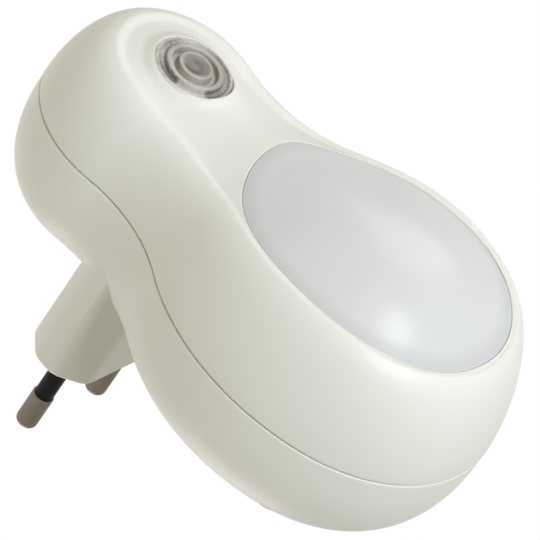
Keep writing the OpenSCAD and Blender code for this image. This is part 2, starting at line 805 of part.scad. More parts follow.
module led(place) {
    collar_t = 1;
    straight = led_h - led_r;
    color([0.95, 0.93, 0.75]) {
        facing_front(place.x, place.y, board_front) rotate_extrude() polygon(concat(
            [[0, 0], [led_r + 0.3, 0], [led_r + 0.3, collar_t], [led_r, collar_t]],
            [for (i = [0:6]) [led_r*cos(15*i), straight + led_r*sin(15*i)]]
        ));
        for (side = [-1, 1])
            facing_wall(place.x + side*leg_pitch/2, place.y, board_front)
                cylinder(h = board_t + leg_end, r = leg_r);
    }
}

module dropper_capacitor() {
    color("firebrick") {
        facing_wall(0, film_z, board_depth) linear_extrude(film_h)
            polygon(rounded(rectangle(-film_w/2, film_w/2, -film_t/2, film_t/2), soft_r));
        rear_legs([for (side = [-1, 1]) [side*film_leg, film_z]]);
    }
}

module smoothing_capacitor() {
    crimp = 0.35;
    crimp_h = 1.6;
    color("midnightblue") {
        facing_wall(0, smooth_z, board_depth) rotate_extrude() polygon([
            [0, 0], [smooth_r, 0], [smooth_r, crimp_h - crimp], [smooth_r - crimp, crimp_h],
            [smooth_r, crimp_h + crimp], [smooth_r, smooth_h - crimp], [smooth_r - crimp, smooth_h],
            [0, smooth_h]
        ]);
        rear_legs([for (side = [-1, 1]) [side*smooth_leg, smooth_z]]);
    }
}

module bridge_rectifier() {
    color([0.13, 0.13, 0.14]) {
        facing_wall(0, bridge_z, board_depth) linear_extrude(bridge_t)
            polygon(rounded(rectangle(-bridge_w/2, bridge_w/2, -bridge_l/2, bridge_l/2), soft_r));
        rear_legs([
            for (side = [-1, 1], up = [-1, 1]) [side*bridge_leg.x, bridge_z + up*bridge_leg.y]
        ]);
    }
}

module transistor() {
    flat_side = transistor_r*0.6;
    color([0.13, 0.13, 0.14]) {
        facing_wall(transistor_place.x, transistor_place.y, board_depth) difference() {
            cylinder(h = transistor_h, r = transistor_r);
            translate([-transistor_r, flat_side, -eps])
                cube([2*transistor_r, transistor_r, transistor_h + 2*eps]);
        }
        rear_legs([for (k = [-1:1]) transistor_place + [k*leg_pitch/2, 0]]);
    }
}

// A resistor that lies on the board along local X, with legs that bend down through it.
module resistor(place, turn, r, l) {
    reach = l/2 + leg_run;
    facing_wall(place.x, place.y, board_depth) rotate([0, 0, turn]) {
        translate([0, 0, r]) rotate([0, 90, 0]) rotate_extrude() polygon([
            [0, -l/2], [r*0.7, -l/2], [r, -l/2 + r*0.3], [r, -l/4], [r*0.85, -l/4 + r*0.3],
            [r*0.85, l/4 - r*0.3], [r, l/4], [r, l/2 - r*0.3], [r*0.7, l/2], [0, l/2]
        ]);
        for (side = [-1, 1]) {
            translate([side*(l/2 - eps), 0, r]) rotate([0, side*90, 0])
                cylinder(h = leg_run + eps, r = leg_r);
            translate([side*reach, 0, r]) sphere(leg_r);
            translate([side*reach, 0, -board_t - leg_end])
                cylinder(h = board_t + leg_end + r, r = leg_r);
        }
    }
}
module fusible_resistor() {
    color([0.25, 0.5, 0.35]) resistor(fuse_place, 0, fuse_r, fuse_l);
}
module bleed_resistor() {
    color([0.35, 0.6, 0.75]) resistor(bleed_place, 0, resistor_r, resistor_l);
}
module bias_resistor() {
    color([0.8, 0.7, 0.5]) resistor(bias_place, 90, resistor_r, resistor_l);
}

// A wire runs out of its pin's solder cup, steps down and meets the board.
wire_start = floor_depth + pin_tail - cup_depth;
wire_step = (board_depth + wire_start)/2 - wire_bend_r;
module wire(side) {
    facing_front(side*pin_pitch/2, 0, wire_start) cylinder(h = wire_step - wire_start, r = wire_r);
    translate([side*pin_pitch/2, -wire_step, -wire_bend_r]) wire_bend(0);
    translate([side*pin_pitch/2, -wire_step - 2*wire_bend_r, -wire_bend_r]) wire_bend(180);
    facing_front(side*pin_pitch/2, wire_pad_z, wire_step + 2*wire_bend_r)
        cylinder(h = board_depth - wire_step - 2*wire_bend_r, r = wire_r);
    facing_front(side*pin_pitch/2, wire_pad_z, board_depth - eps)
        cylinder(h = board_t + leg_end + eps, r = leg_r);
}
// A quarter turn about X: from straight above its centre, round its front side.
module wire_bend(turn) {
    rotate([turn, 0, 0]) rotate([0, 90, 0]) rotate([0, 0, 180])
        rotate_extrude(angle = 90) translate([wire_bend_r, 0]) circle(wire_r);
}
module live_wire() {
    color("sienna") wire(-1);
}
module neutral_wire() {
    color("royalblue") wire(1);
}

// ---- screws ----

// A screw whose head stands on the plane Z = 0, with its shank below it.
module screw(shank) {
    difference() {
        union() {
            rotate_extrude() polygon([
                [0, 0], [head_r, 0], [head_r, head_h*0.45], [head_r*0.9, head_h*0.75],
                [head_r*0.65, head_h*0.95], [head_r*0.3, head_h], [0, head_h]
            ]);
            translate([0, 0, -shank]) cylinder(h = shank + eps, r = thread_r);
        }
        for (turn = [0, 90])
            rotate([0, 0, turn])
                translate([-recess_w/2, -head_r*0.6, head_h - recess_depth])
                    cube([recess_w, head_r*1.2, recess_depth + eps]);
    }
}
module cover_screws() {
    color("silver") for (p = cover_screw_places)
        facing_wall(p.x, p.y, plug_reach + well_depth) screw(cover_screw_l);
}
module board_screws() {
    color("silver") for (p = board_screw_places)
        facing_front(p.x, p.y, board_front) screw(board_screw_l);
}

front_cover();
back_cover();
lens();
sensor_window();
sensor_tube();
light_sensor();
pin(-1);  // pin_left
pin(1);  // pin_right
sleeve(-1);  // sleeve_left
sleeve(1);  // sleeve_right
circuit_board();
led(led_places[0]);  // led_1
led(led_places[1]);  // led_2
led(led_places[2]);  // led_3
led(led_places[3]);  // led_4
dropper_capacitor();
smoothing_capacitor();
bridge_rectifier();
transistor();
fusible_resistor();
bleed_resistor();
bias_resistor();
live_wire();
neutral_wire();
cover_screws();
board_screws();
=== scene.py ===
import math

import bmesh
import bpy
from mathutils import Matrix, Vector

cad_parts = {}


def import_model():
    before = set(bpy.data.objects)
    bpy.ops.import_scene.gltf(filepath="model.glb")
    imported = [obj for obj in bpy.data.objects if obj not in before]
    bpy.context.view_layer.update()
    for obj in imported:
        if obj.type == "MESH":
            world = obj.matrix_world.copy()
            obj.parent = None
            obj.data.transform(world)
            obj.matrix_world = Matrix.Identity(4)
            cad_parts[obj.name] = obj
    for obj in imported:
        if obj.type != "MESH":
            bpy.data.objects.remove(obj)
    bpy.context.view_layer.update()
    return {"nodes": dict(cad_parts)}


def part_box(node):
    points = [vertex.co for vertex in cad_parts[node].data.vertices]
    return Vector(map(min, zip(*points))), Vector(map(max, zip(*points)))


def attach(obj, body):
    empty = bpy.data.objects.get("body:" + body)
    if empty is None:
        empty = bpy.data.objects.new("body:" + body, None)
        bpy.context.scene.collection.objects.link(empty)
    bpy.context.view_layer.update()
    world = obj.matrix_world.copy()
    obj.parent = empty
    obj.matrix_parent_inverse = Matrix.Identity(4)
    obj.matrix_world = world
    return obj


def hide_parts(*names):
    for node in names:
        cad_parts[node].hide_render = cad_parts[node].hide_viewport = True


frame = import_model()

# Sizes are in millimetres and turns in degrees. A fullness, squareness, taper or power is a plain
# number. A depth is a distance from the plug's end face towards the front, and a height is above
# the pins. The row's own frame is in metres, with that depth along -Y and that height along Z.
MM = 0.001

CASE = {
    "Small lobe radius": 19.7,
    "Small lobe turn": 102.5,
    "Waist radius": 25.8,
    "Waist turn": 47.0,
    "Flank radius": 39.9,
    "Flank turn": 60.5,
    "Small lobe height": 15.4,
    "Back depth": 17.5,
    "Seam depth": 37.0,
    "Small front depth": 53.1,
    "Front rise": 4.5,
    "Front curve radius": 120.0,
    "Front crown height": -43.0,
    "Front blend": 1.2,
    "Waist top": 18.5,
    "Waist low": -13.0,
    "Waist blend": 12.5,
    "Waist dip": 0.9,
    "Shoulder": 7.0,
    "Waist lean": 1.1,
    "Small flank fullness": 1.87,
    "Large flank fullness": 1.6,
    "Lobe blend top": 8.0,
    "Lobe blend length": 40.0,
    "Back corner inset": 9.0,
    "Back corner depth": 16.5,
    "Back corner fullness": 2.08,
    "Wall": 2.0,
    "Panel wall": 3.0,
    "Seam gap": 0.35,
    "Seam groove": 0.6,
    "Seam edge radius": 0.22,
    "Lip height": 2.0,
    "Lip wall": 0.9,
    "Lip gap": 0.1,
    "Flange room": 0.4,
    "Bead stand": 0.12,
    "Bead foot": 1.2,
    "Bead width": 1.6,
    "Narrow bead width": 0.9,
    "Bead blend top": 16.0,
    "Bead blend length": 12.0,
    "Panel sink": 0.18,
    "Low panel sink": 0.2,
    "Panel crown": 1.9,
    "Neck crown": 4.6,
    "Neck top": 3.5,
    "Neck length": 19.0,
    "Crown fullness": 1.3,
    "Crown widening top": 5.0,
    "Crown widening": 33.0,
    "Crown fade top": -14.0,
    "Crown fade": 32.0,
    "Collar height": 0.65,
    "Collar width": 2.2,
    "Window height": 14.2,
    "Window radius": 7.3,
    "Dome side": 8.3,
    "Dome below": 8.4,
    "Dome top": -5.7,
    "Dome squareness": 2.12,
    "Dome taper": 0.03,
    "Dome rise": 5.0,
    "Dome power": 2.2,
    "Dome sink": 0.5,
    "Dome edge radius": 0.22,
    "Dome wall": 1.6,
    "Dome gap": 0.05,
    "Dome flange width": 0.9,
    "Dome flange": 1.0,
    "Dome flange gap": 0.05,
    "Opening edge radius": 0.16,
}

WINDOW_GAP = 0.03
WINDOW_MOUTH = 0.12
SPIGOT_RADIUS = 6.0
WINDOW_RING = 1.6
WINDOW_STAND = 1.6
WINDOW_GROOVE = 0.4
WINDOW_RELIEF = 0.4
WINDOW_EDGE_RADIUS = 0.45
WINDOW_BEVEL = 0.15
WINDOW_RIM_DROP = 0.05
# Where the window's rim ends and its grooves and raised ring lie, as shares of its radius
RIM_END = 0.90
OUTER_GROOVE = (0.77, 0.86)
RAISED_RING = (0.60, 0.74)
INNER_GROOVE = 0.57
LENS_RADIUS = 3.2
LENS_FOOT = 0.3
LENS_STAND = 0.75
LENS_DISH = 0.35
# The share of the middle lens's radius that is dished
DISH_SHARE = 0.85

PLUG_WIDTH = 35.3
PLUG_HEIGHT = 13.7
PLUG_FLAT_WIDTH = 26.1
PLUG_END_HEIGHT = 4.5
PLUG_EDGE_RADIUS = 4.0
PLUG_END_RADIUS = 0.8
PLUG_END_THICKNESS = 3.0
PLUG_COLLAR = 5.5
PIN_PITCH = 19.0
PIN_RADIUS = 2.0
PIN_REACH = 19.0
PIN_NOSE_RADIUS = 1.1
PIN_STEP_RADIUS = 0.2
PIN_MOUTH = 0.25
PIN_WALL = 2.0
PIN_TAIL = 4.0
TAIL_RADIUS = 1.6
CUP_DEPTH = 2.0
CUP_RADIUS = 0.82
SLEEVE_RADIUS = 1.75
SLEEVE_WALL = 0.45
SLEEVE_REACH = 11.2
SLEEVE_ROOT = 4.0
SLEEVE_EDGE_RADIUS = 0.12
PRESS_GAP = 0.02

WELL_DEPTH = 10.0
WELL_RADIUS = 3.0
WELL_MOUTH = 0.4
BOSS_WALL = 1.4
SCREW_SEAT = 2.0
SCREW_HOLE_RADIUS = 1.4
PILOT_RADIUS = 1.27
BOARD_SCREW_REACH = 6.9
COVER_SCREWS = [(0.0, 24.0), (17.3, -46.0), (-17.3, -46.0)]
BOARD_SCREWS = [(8.5, 12.0), (-8.5, -47.0)]
BOARD_DEPTH = 39.0

# How far a boss sinks into its wall, and how far a cut runs past the faces that it opens
OVERLAP = 0.5
CUT_MARGIN = 1.0
WINDOW_CUT_BACK = 2.0
WINDOW_CUT_FRONT = 4.0

# Columns of vertices round a shell, and rows of them across each kind of band in its section
COLUMNS = 257
STRAIGHT_ROWS = 2
WALL_ROWS = 4
EDGE_ROWS = 5
DOME_EDGE_ROWS = 7
FLAT_ROWS = 8
BEAD_ROWS = 13
LEDGE_ROWS = 14
INNER_ROWS = 20
DOME_INNER_ROWS = 24
CORNER_ROWS = 34
DOME_ROWS = 44
FLANK_ROWS = 64
PANEL_ROWS = 80
# A vertex this close before an arc's end, as a share of the arc, starts the next arc
ARC_SLACK = 1e-5
WELD_DISTANCE = 0.004

# Faces round a lathe, and the angle in degrees past which an edge stays crisp
COARSE_TURNS = 48
FINE_TURNS = 64
WINDOW_TURNS = 128
SHARP_EDGE = 32.0
DOME_SHARP_EDGE = 40.0
WINDOW_SHARP_EDGE = 25.0


# ---- numbers and expressions that nodes work out ----


class Value:
    """A socket of a node tree. Arithmetic on it adds Math nodes."""

    def __init__(self, recipe, socket):
        self.recipe = recipe
        self.socket = socket

    def maths(self, operation, *others):
        inputs = dict(enumerate((self,) + others))
        return self.recipe.node("ShaderNodeMath", {"operation": operation}, inputs)

    def output(self, name):
        return Value(self.recipe, self.socket.node.outputs[name])

    def __add__(self, other):
        return self.maths("ADD", other)

    def __sub__(self, other):
        return self.maths("SUBTRACT", other)

    def __rsub__(self, other):
        return self.recipe.node("ShaderNodeMath", {"operation": "SUBTRACT"}, {0: other, 1: self})

    def __mul__(self, other):
        return self.maths("MULTIPLY", other)

    def __truediv__(self, other):
        return self.maths("DIVIDE", other)

    def __rtruediv__(self, other):
        return self.recipe.node("ShaderNodeMath", {"operation": "DIVIDE"}, {0: other, 1: self})

    def __pow__(self, other):
        return self.maths("POWER", other)

    def __neg__(self):
        return self.maths("MULTIPLY", -1.0)

    __radd__ = __add__
    __rmul__ = __mul__


class Recipe:
    """A node tree in the making."""

    def __init__(self, tree):
        self.tree = tree

    def node(self, kind, settings=None, inputs=None, output=0):
        made = self.tree.nodes.new(kind)
        for name, setting in (settings or {}).items():
            if name == "stops":
                self.set_stops(made.color_ramp, setting)
            elif name == "stepped":
                made.color_ramp.interpolation = "CONSTANT" if setting else "LINEAR"
            else:
                setattr(made, name, setting)
        for name, given in (inputs or {}).items():
            for one in given if isinstance(given, list) else [given]:
                if isinstance(one, Value):
                    self.tree.links.new(one.socket, made.inputs[name])
                else:
                    made.inputs[name].default_value = one
        return Value(self, made.outputs[output]) if made.outputs else None

    def set_stops(self, ramp, stops):
        while len(ramp.elements) < len(stops):
            ramp.elements.new(0.5)
        for element, (place, colour) in zip(ramp.elements, stops):
            element.position = place
            element.color = colour

    def separate(self, vector):
        parts = self.node("ShaderNodeSeparateXYZ", {}, {0: vector})
        return [parts.output(axis) for axis in "XYZ"]

    def combine(self, x, y, z):
        return self.node("ShaderNodeCombineXYZ", {}, {0: x, 1: y, 2: z})


def sine(x):
    return x.maths("SINE")


def cosine(x):
    return x.maths("COSINE")


def radians(x):
    return x.maths("RADIANS")


def root(x):
    return x.maths("SQRT")


def magnitude(x):
    return x.maths("ABSOLUTE")


def at_least(x, low):
    return x.maths("MAXIMUM", low)


def above(x, limit):
    """1 where x is above the limit, and 0 elsewhere."""
    return x.maths("GREATER_THAN", limit)


def smooth(x):
    """A soft step from 0 to 1 while x goes from 0 to 1."""
    return x.recipe.node("ShaderNodeMapRange", {"interpolation_type": "SMOOTHSTEP"}, {0: x})


def mix(a, b, share):
    """Between a and b, by a share from 0 to 1."""
    return a + (b - a) * share


# ---- the case, by geometry nodes: a grid's X runs round the outline, and its Y across it ----


class Outline:
    """The case outline: four arcs from the top to the bottom, and their mirror image."""

    def __init__(self, recipe, size):
        self.size = size
        self.recipe = recipe
        place = recipe.node("GeometryNodeInputPosition")
        along, across, _ = recipe.separate(place)
        self.u = along + 0.5
        self.v = across + 0.5
        way = 1.0 - magnitude(2.0 * self.u - 1.0)
        self.side = (0.5 - self.u).maths("SIGN")

        turn_1 = radians(size["Small lobe turn"])
        turn_2 = turn_1 - radians(size["Waist turn"])
        turn_3 = turn_2 + radians(size["Flank turn"])
        small, waist, flank = size["Small lobe radius"], size["Waist radius"], size["Flank radius"]
        small_z = size["Small lobe height"]
        waist_x = (small + waist) * sine(turn_1)
        waist_z = small_z + (small + waist) * cosine(turn_1)
        flank_x = waist_x - (waist + flank) * sine(turn_2)
        flank_z = waist_z - (waist + flank) * cosine(turn_2)
        end_x = flank_x + flank * sine(turn_3)
        end_z = flank_z + flank * cosine(turn_3)
        bottom = end_x / sine(turn_3)
        bottom_z = end_z - bottom * cosine(turn_3)
        self.widest = flank_x + flank
        self.lowest = bottom_z - bottom

        arc_count = way * 4.0
        steps = [above(arc_count, k - ARC_SLACK) for k in (1, 2, 3)]
        fraction = arc_count - steps[0] - steps[1] - steps[2]

        def pick(values):
            """The value of the arc that this place is on."""
            total = values[0]
            for before, after, step in zip(values, values[1:], steps):
                total = (after - before) * step + total
            return total

        start = pick([0.0, turn_1, turn_2, turn_3])
        end = pick([turn_1, turn_2, turn_3, math.pi])
        turn = mix(start, end, fraction)
        self.sine = sine(turn)
        self.cosine = cosine(turn)
        self.centre_x = pick([0.0, waist_x, flank_x, 0.0])
        self.centre_z = pick([small_z, waist_z, flank_z, bottom_z])
        self.radius = pick([small, -waist, flank, bottom])

        self.station_x, self.station_z = self.inset(0.0)
        large = smooth((size["Lobe blend top"] - self.station_z) / size["Lobe blend length"])
        self.fullness = mix(size["Small flank fullness"], size["Large flank fullness"], large)
        narrow = smooth((size["Bead blend top"] - self.station_z) / size["Bead blend length"])
        self.bead = mix(size["Bead width"], size["Narrow bead width"], narrow)
        self.shoulder = size["Shoulder"] - size["Waist lean"] * self.waist(self.station_z)

        dome_low = self.lowest + size["Dome below"]
        self.dome_half_w = self.widest - size["Dome side"]
        self.dome_half_h = (size["Dome top"] - dome_low) * 0.5
        self.dome_z = (size["Dome top"] + dome_low) * 0.5

    def inset(self, distance):
        """A place on the outline moved inwards, without the sign of its side."""
        reach = self.radius - distance
        return self.centre_x + reach * self.sine, self.centre_z + reach * self.cosine

    def front(self, z):
        """Depth of the front: level over the small lobe, then a wide curve."""
        size = self.size
        off = z - size["Front crown height"]
        rise = size["Front rise"] - off * off / (2.0 * size["Front curve radius"])
        return size["Small front depth"] + (rise + root(rise * rise + size["Front blend"] ** 2.0)) * 0.5

    def waist(self, z):
        """1 beside the waist, and 0 on both lobes."""
        size = self.size
        above_waist = smooth((size["Waist top"] - z) / size["Waist blend"])
        return above_waist * smooth((z - size["Waist low"]) / size["Waist blend"])

    def dip(self, z):
        """How far the bead dips below the front at the waist."""
        return self.size["Waist dip"] * self.waist(z)

    def crest(self, z):
        """Depth of the bead's crest."""
        return self.front(z) - self.dip(z)

    def rise(self, x, z):
        """The panel's crown: round on the small lobe, wider and higher beside the dome's upper end."""
        size = self.size
        narrow = size["Small lobe radius"] - size["Shoulder"] - size["Bead width"]
        wide = self.widest - size["Shoulder"] - size["Narrow bead width"]
        half_w = mix(narrow, wide, smooth((size["Crown widening top"] - z) / size["Crown widening"]))
        above_lobe = at_least(z - size["Small lobe height"], 0.0)
        off = (x * x + above_lobe * above_lobe) / (half_w * half_w)
        neck = smooth((size["Neck top"] - z) / size["Neck length"])
        level = 1.0 - self.low_share(z)
        arch = at_least(1.0 - off, 0.0) ** size["Crown fullness"]
        return (mix(size["Panel crown"], size["Neck crown"], neck) * level + self.dip(z)) * arch

    def low_share(self, z):
        """0 on the small lobe and 1 beside the dome's lower end."""
        return smooth((self.size["Crown fade top"] - z) / self.size["Crown fade"])

    def sink(self, z):
        """How far the panel's edge lies below the bead's crest."""
        return mix(self.size["Panel sink"], self.size["Low panel sink"], self.low_share(z))

    def panel(self, x, z):
        """Depth of the panel inside the bead, with a low collar round the window."""
        size = self.size
        up = z - size["Window height"]
        from_window = root(x * x + up * up) - size["Window radius"]
        collar = size["Collar height"] * (1.0 - smooth(from_window / size["Collar width"]))
        return self.crest(z) - self.sink(z) + self.rise(x, z) + collar

    def dome_point(self, cosine_part, sine_part, share, margin):
        """A place at a share of the dome's radius in one direction, with a margin round its outline."""
        taper = 1.0 - self.size["Dome taper"] * sine_part
        across = magnitude(cosine_part) / ((self.dome_half_w + margin) * taper)
        upright = magnitude(sine_part) / (self.dome_half_h + margin)
        power = self.size["Dome squareness"]
        reach = share / (across ** power + upright ** power) ** (1.0 / power)
        return reach * cosine_part, self.dome_z + reach * sine_part

    def edge_point(self, margin):
        """The dome's outline, with a margin, in the direction of this place on the case."""
        up = self.station_z - self.dome_z
        away = root(self.station_x * self.station_x + up * up)
        return self.dome_point(self.station_x / away, up / away, 1.0, margin)

    def section(self, rows, x, depth, z):
        """One band of the surface: a grid whose vertices are put where the section says."""
        grid = self.recipe.node("GeometryNodeMeshGrid", {}, {
            "Size X": 1.0, "Size Y": 1.0, "Vertices X": COLUMNS, "Vertices Y": rows})
        place = self.recipe.combine(self.side * x * MM, depth * -MM, z * MM)
        return self.recipe.node("GeometryNodeSetPosition", {}, {"Geometry": grid, "Position": place})


def quarter(v):
    """Sine and cosine of a share of a quarter turn."""
    angle = v * (math.pi / 2)
    return sine(angle), cosine(angle)


def front_bands(o):
    """The front cover's closed section, from its seam over the flank and bead to the dome's opening."""
    size, v = o.size, o.v
    seam, gap, groove = size["Seam depth"], size["Seam gap"], size["Seam groove"]
    edge, wall, lip = size["Seam edge radius"], size["Wall"], size["Lip wall"]
    rebate_inset = wall - lip - size["Lip gap"]
    rebate_depth = seam + size["Lip height"] + size["Lip gap"]
    shoulder = o.shoulder
    inner_shoulder = shoulder - size["Flange room"]
    panel_wall = size["Panel wall"]
    rise, run = quarter(v)
    bands = []

    def band(rows, inset, depth_at):
        x, z = o.inset(inset)
        bands.append(o.section(rows, x, depth_at(z), z))

    band(STRAIGHT_ROWS, mix(rebate_inset, groove, v), lambda z: seam)
    band(STRAIGHT_ROWS, groove, lambda z: seam + gap * v)
    band(STRAIGHT_ROWS, mix(groove, edge, v), lambda z: seam + gap)
    band(EDGE_ROWS, edge * (1.0 - rise), lambda z: seam + gap + edge * (1.0 - run))
    start = seam + gap + edge
    power = 2.0 / o.fullness
    inset = shoulder * (1.0 - run ** power)
    stand = size["Bead stand"]
    bead = stand * smooth((inset - shoulder) / size["Bead foot"] + 1.0)
    band(FLANK_ROWS, inset, lambda z: mix(start, o.crest(z) - stand, rise ** power) + bead)

    foot_x, foot_z = o.inset(shoulder + o.bead)
    foot_depth = o.panel(foot_x, foot_z)
    band(BEAD_ROWS, shoulder + o.bead * v, lambda z: mix(o.crest(z), foot_depth, smooth(v)))

    open_gap, open_edge = size["Dome gap"], size["Opening edge radius"]
    rim_x, rim_z = o.edge_point(open_gap + open_edge)
    x, z = mix(foot_x, rim_x, v), mix(foot_z, rim_z, v)
    bands.append(o.section(PANEL_ROWS, x, o.panel(x, z), z))
    x, z = o.edge_point(open_gap + open_edge * (1.0 - rise))
    bands.append(o.section(EDGE_ROWS, x, o.panel(x, z) - open_edge * (1.0 - run), z))
    rim_x, rim_z = o.edge_point(open_gap)
    top = o.panel(rim_x, rim_z) - open_edge
    bands.append(o.section(WALL_ROWS, rim_x, mix(top, o.front(rim_z) - panel_wall, v), rim_z))
    inner_x, inner_z = o.inset(inner_shoulder)
    x, z = mix(rim_x, inner_x, v), mix(rim_z, inner_z, v)
    bands.append(o.section(LEDGE_ROWS, x, o.front(z) - panel_wall, z))

    inset = wall + (inner_shoulder - wall) * (1.0 - rise ** power)
    band(INNER_ROWS, inset, lambda z: mix(rebate_depth, o.front(z) - panel_wall, run ** power))
    band(STRAIGHT_ROWS, mix(wall, rebate_inset, v), lambda z: rebate_depth)
    band(STRAIGHT_ROWS, rebate_inset, lambda z: mix(rebate_depth, seam, v))
    return bands


def back_bands(o):
    """The back cover's shell, from its flat back round the corner to the seam, and back inside."""
    size, v = o.size, o.v
    seam, wall, lip = size["Seam depth"], size["Wall"], size["Lip wall"]
    edge, back = size["Seam edge radius"], size["Back depth"]
    corner = size["Back corner inset"]
    curve = back + size["Back corner depth"]
    lip_top = seam + size["Lip height"]
    rise, run = quarter(v)
    power = 2.0 / size["Back corner fullness"]
    bands = []

    def band(rows, inset, depth):
        x, z = o.inset(inset)
        bands.append(o.section(rows, x, depth, z))

    x, z = o.inset(corner)
    bands.append(o.section(FLAT_ROWS, x * v, back, z))
    band(CORNER_ROWS, corner * (1.0 - rise ** power), mix(curve, back, run ** power))
    band(WALL_ROWS, 0.0, mix(curve, seam - edge, v))
    band(EDGE_ROWS, edge * (1.0 - run), seam - edge * (1.0 - rise))
    band(STRAIGHT_ROWS, mix(edge, wall - lip, v), seam)
    band(STRAIGHT_ROWS, wall - lip, mix(seam, lip_top, v))
    band(STRAIGHT_ROWS, mix(wall - lip, wall, v), lip_top)
    band(WALL_ROWS, wall, mix(lip_top, curve, v))
    band(INNER_ROWS, wall + corner * (1.0 - run ** power), mix(curve, back + wall, rise ** power))
    x, z = o.inset(corner + wall)
    bands.append(o.section(FLAT_ROWS, x * (1.0 - v), back + wall, z))
    return bands


def dome_bands(o):
    """The light dome, from its middle over the rim, the flange, and back inside."""
    size, v = o.size, o.v
    angle = o.u * (2 * math.pi)
    towards_x, towards_z = sine(angle), cosine(angle)
    wall, edge, gap = size["Dome wall"], size["Dome edge radius"], size["Dome gap"]
    flange = gap + size["Dome flange width"]
    flange_front = -size["Panel wall"] - size["Dome flange gap"]
    flange_back = flange_front - size["Dome flange"]
    rim = -size["Dome sink"]
    rise, run = quarter(v)
    bands = []

    rim_x, rim_z = o.dome_point(towards_x, towards_z, 1.0, 0.0)
    lift = o.rise(rim_x, rim_z) - o.dip(rim_z) + size["Dome sink"] - o.sink(rim_z)

    def band(rows, share, margin, height):
        x, z = o.dome_point(towards_x, towards_z, share, margin)
        bands.append(o.section(rows, x * o.side, o.front(z) + height, z))

    def vault(share):
        return size["Dome rise"] * (1.0 - share ** size["Dome power"]) + rim + lift * share ** 2.0

    band(DOME_ROWS, rise, -edge, vault(rise))
    band(DOME_EDGE_ROWS, 1.0, edge * (rise - 1.0), rim + lift - edge * (1.0 - run))
    band(WALL_ROWS, 1.0, 0.0, mix(rim + lift - edge, flange_front, v))
    band(STRAIGHT_ROWS, 1.0, flange * v, flange_front)
    band(STRAIGHT_ROWS, 1.0, flange, mix(flange_front, flange_back, v))
    band(STRAIGHT_ROWS, 1.0, mix(flange, -wall, v), flange_back)
    band(WALL_ROWS, 1.0, -wall, mix(flange_back, rim + lift - wall, v))
    band(DOME_INNER_ROWS, run, -wall, vault(run) - wall)
    return bands


def case_tree(name, bands):
    """A geometry tree that makes the bands of one shell and welds them."""
    tree = bpy.data.node_groups.new(name, "GeometryNodeTree")
    tree.interface.new_socket("Geometry", in_out="OUTPUT", socket_type="NodeSocketGeometry")
    for label in CASE:
        tree.interface.new_socket(label, in_out="INPUT", socket_type="NodeSocketFloat")
    tree.interface.new_socket("Material", in_out="INPUT", socket_type="NodeSocketMaterial")
    recipe = Recipe(tree)
    given = recipe.node("NodeGroupInput")
    size = {label: given.output(label) for label in CASE}
    joined = recipe.node("GeometryNodeJoinGeometry", {}, {0: bands(Outline(recipe, size))})
    welded = recipe.node("GeometryNodeMergeByDistance", {}, {
        "Geometry": joined, "Distance": WELD_DISTANCE * MM})
    real = recipe.node("GeometryNodeRealizeInstances", {}, {"Geometry": welded})
    finished = recipe.node("GeometryNodeSetMaterial", {}, {
        "Geometry": real, "Material": given.output("Material")})
    recipe.node("NodeGroupOutput", {}, {0: finished})
    return tree


def grow(name, tree, sizes, material):
    """Runs a geometry tree and keeps its result as a plain mesh."""
    holder = bpy.data.objects.new(name + "_recipe", bpy.data.meshes.new(name + "_recipe"))
    bpy.context.scene.collection.objects.link(holder)
    modifier = holder.modifiers.new("shape", "NODES")
    modifier.node_group = tree
    given = dict(sizes, Material=material)
    for item in tree.interface.items_tree:
        if item.in_out == "INPUT":
            modifier[item.identifier] = given[item.name]
    graph = bpy.context.evaluated_depsgraph_get()
    mesh = bpy.data.meshes.new_from_object(holder.evaluated_get(graph))
    bpy.data.objects.remove(holder)
    return keep(name, mesh, material)


def keep(name, mesh, material):
    """A finished mesh as an object at the origin, with faces that point outwards."""
    work = bmesh.new()
    work.from_mesh(mesh)
    bmesh.ops.recalc_face_normals(work, faces=work.faces)
    work.to_mesh(mesh)
    work.free()
    mesh.name = name
    mesh.materials.clear()
    mesh.materials.append(material)
    piece = bpy.data.objects.new(name, mesh)
    bpy.context.scene.collection.objects.link(piece)
    return piece


def shade(piece, angle=SHARP_EDGE):
    """Smooth shading, with edges sharper than the angle left crisp."""
    mesh = piece.data
    mesh.polygons.foreach_set("use_smooth", [True] * len(mesh.polygons))
    mesh.set_sharp_from_angle(angle=math.radians(angle))
    return piece


def hand_over(piece, slot, *nodes):
    """The finished piece stands for its nodes and rides with the part."""
    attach(piece, "root")
    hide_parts(*nodes)


# ---- turned pieces, prisms and cuts ----


def arc(centre, radius, start, end, steps):
    """Points of an arc in a section, as (radius, height), between two angles in degrees."""
    turns = [math.radians(start + (end - start) * i / steps) for i in range(steps + 1)]
    return [(centre[0] + radius * math.cos(turn), centre[1] + radius * math.sin(turn)) for turn in turns]


def turned(name, section, x, z, material, turns, towards_wall=False):
    """A lathe round an axis along Y. Heights in its section are depths, or reach towards the wall."""
    facing = 1.0 if towards_wall else -1.0
    work = bmesh.new()
    rings = []
    for radius, height in section:
        count = turns if radius > 1e-6 else 1
        rings.append([
            work.verts.new(Vector((
                x + radius * math.cos(2 * math.pi * i / turns),
                facing * height,
                z + radius * math.sin(2 * math.pi * i / turns))) * MM)
            for i in range(count)])
    for low, high in zip(rings, rings[1:]):
        for i in range(turns):
            j = (i + 1) % turns
            corners = [low[i % len(low)], low[j % len(low)], high[j % len(high)], high[i % len(high)]]
            corners = list(dict.fromkeys(corners))
            if len(corners) > 2:
                work.faces.new(corners)
    mesh = bpy.data.meshes.new(name)
    work.to_mesh(mesh)
    work.free()
    return keep(name, mesh, material)


def post(name, x, z, radius, start, end, material):
    """A plain round solid between two depths."""
    section = [(0.0, start), (radius, start), (radius, end), (0.0, end)]
    return turned(name, section, x, z, material, COARSE_TURNS)


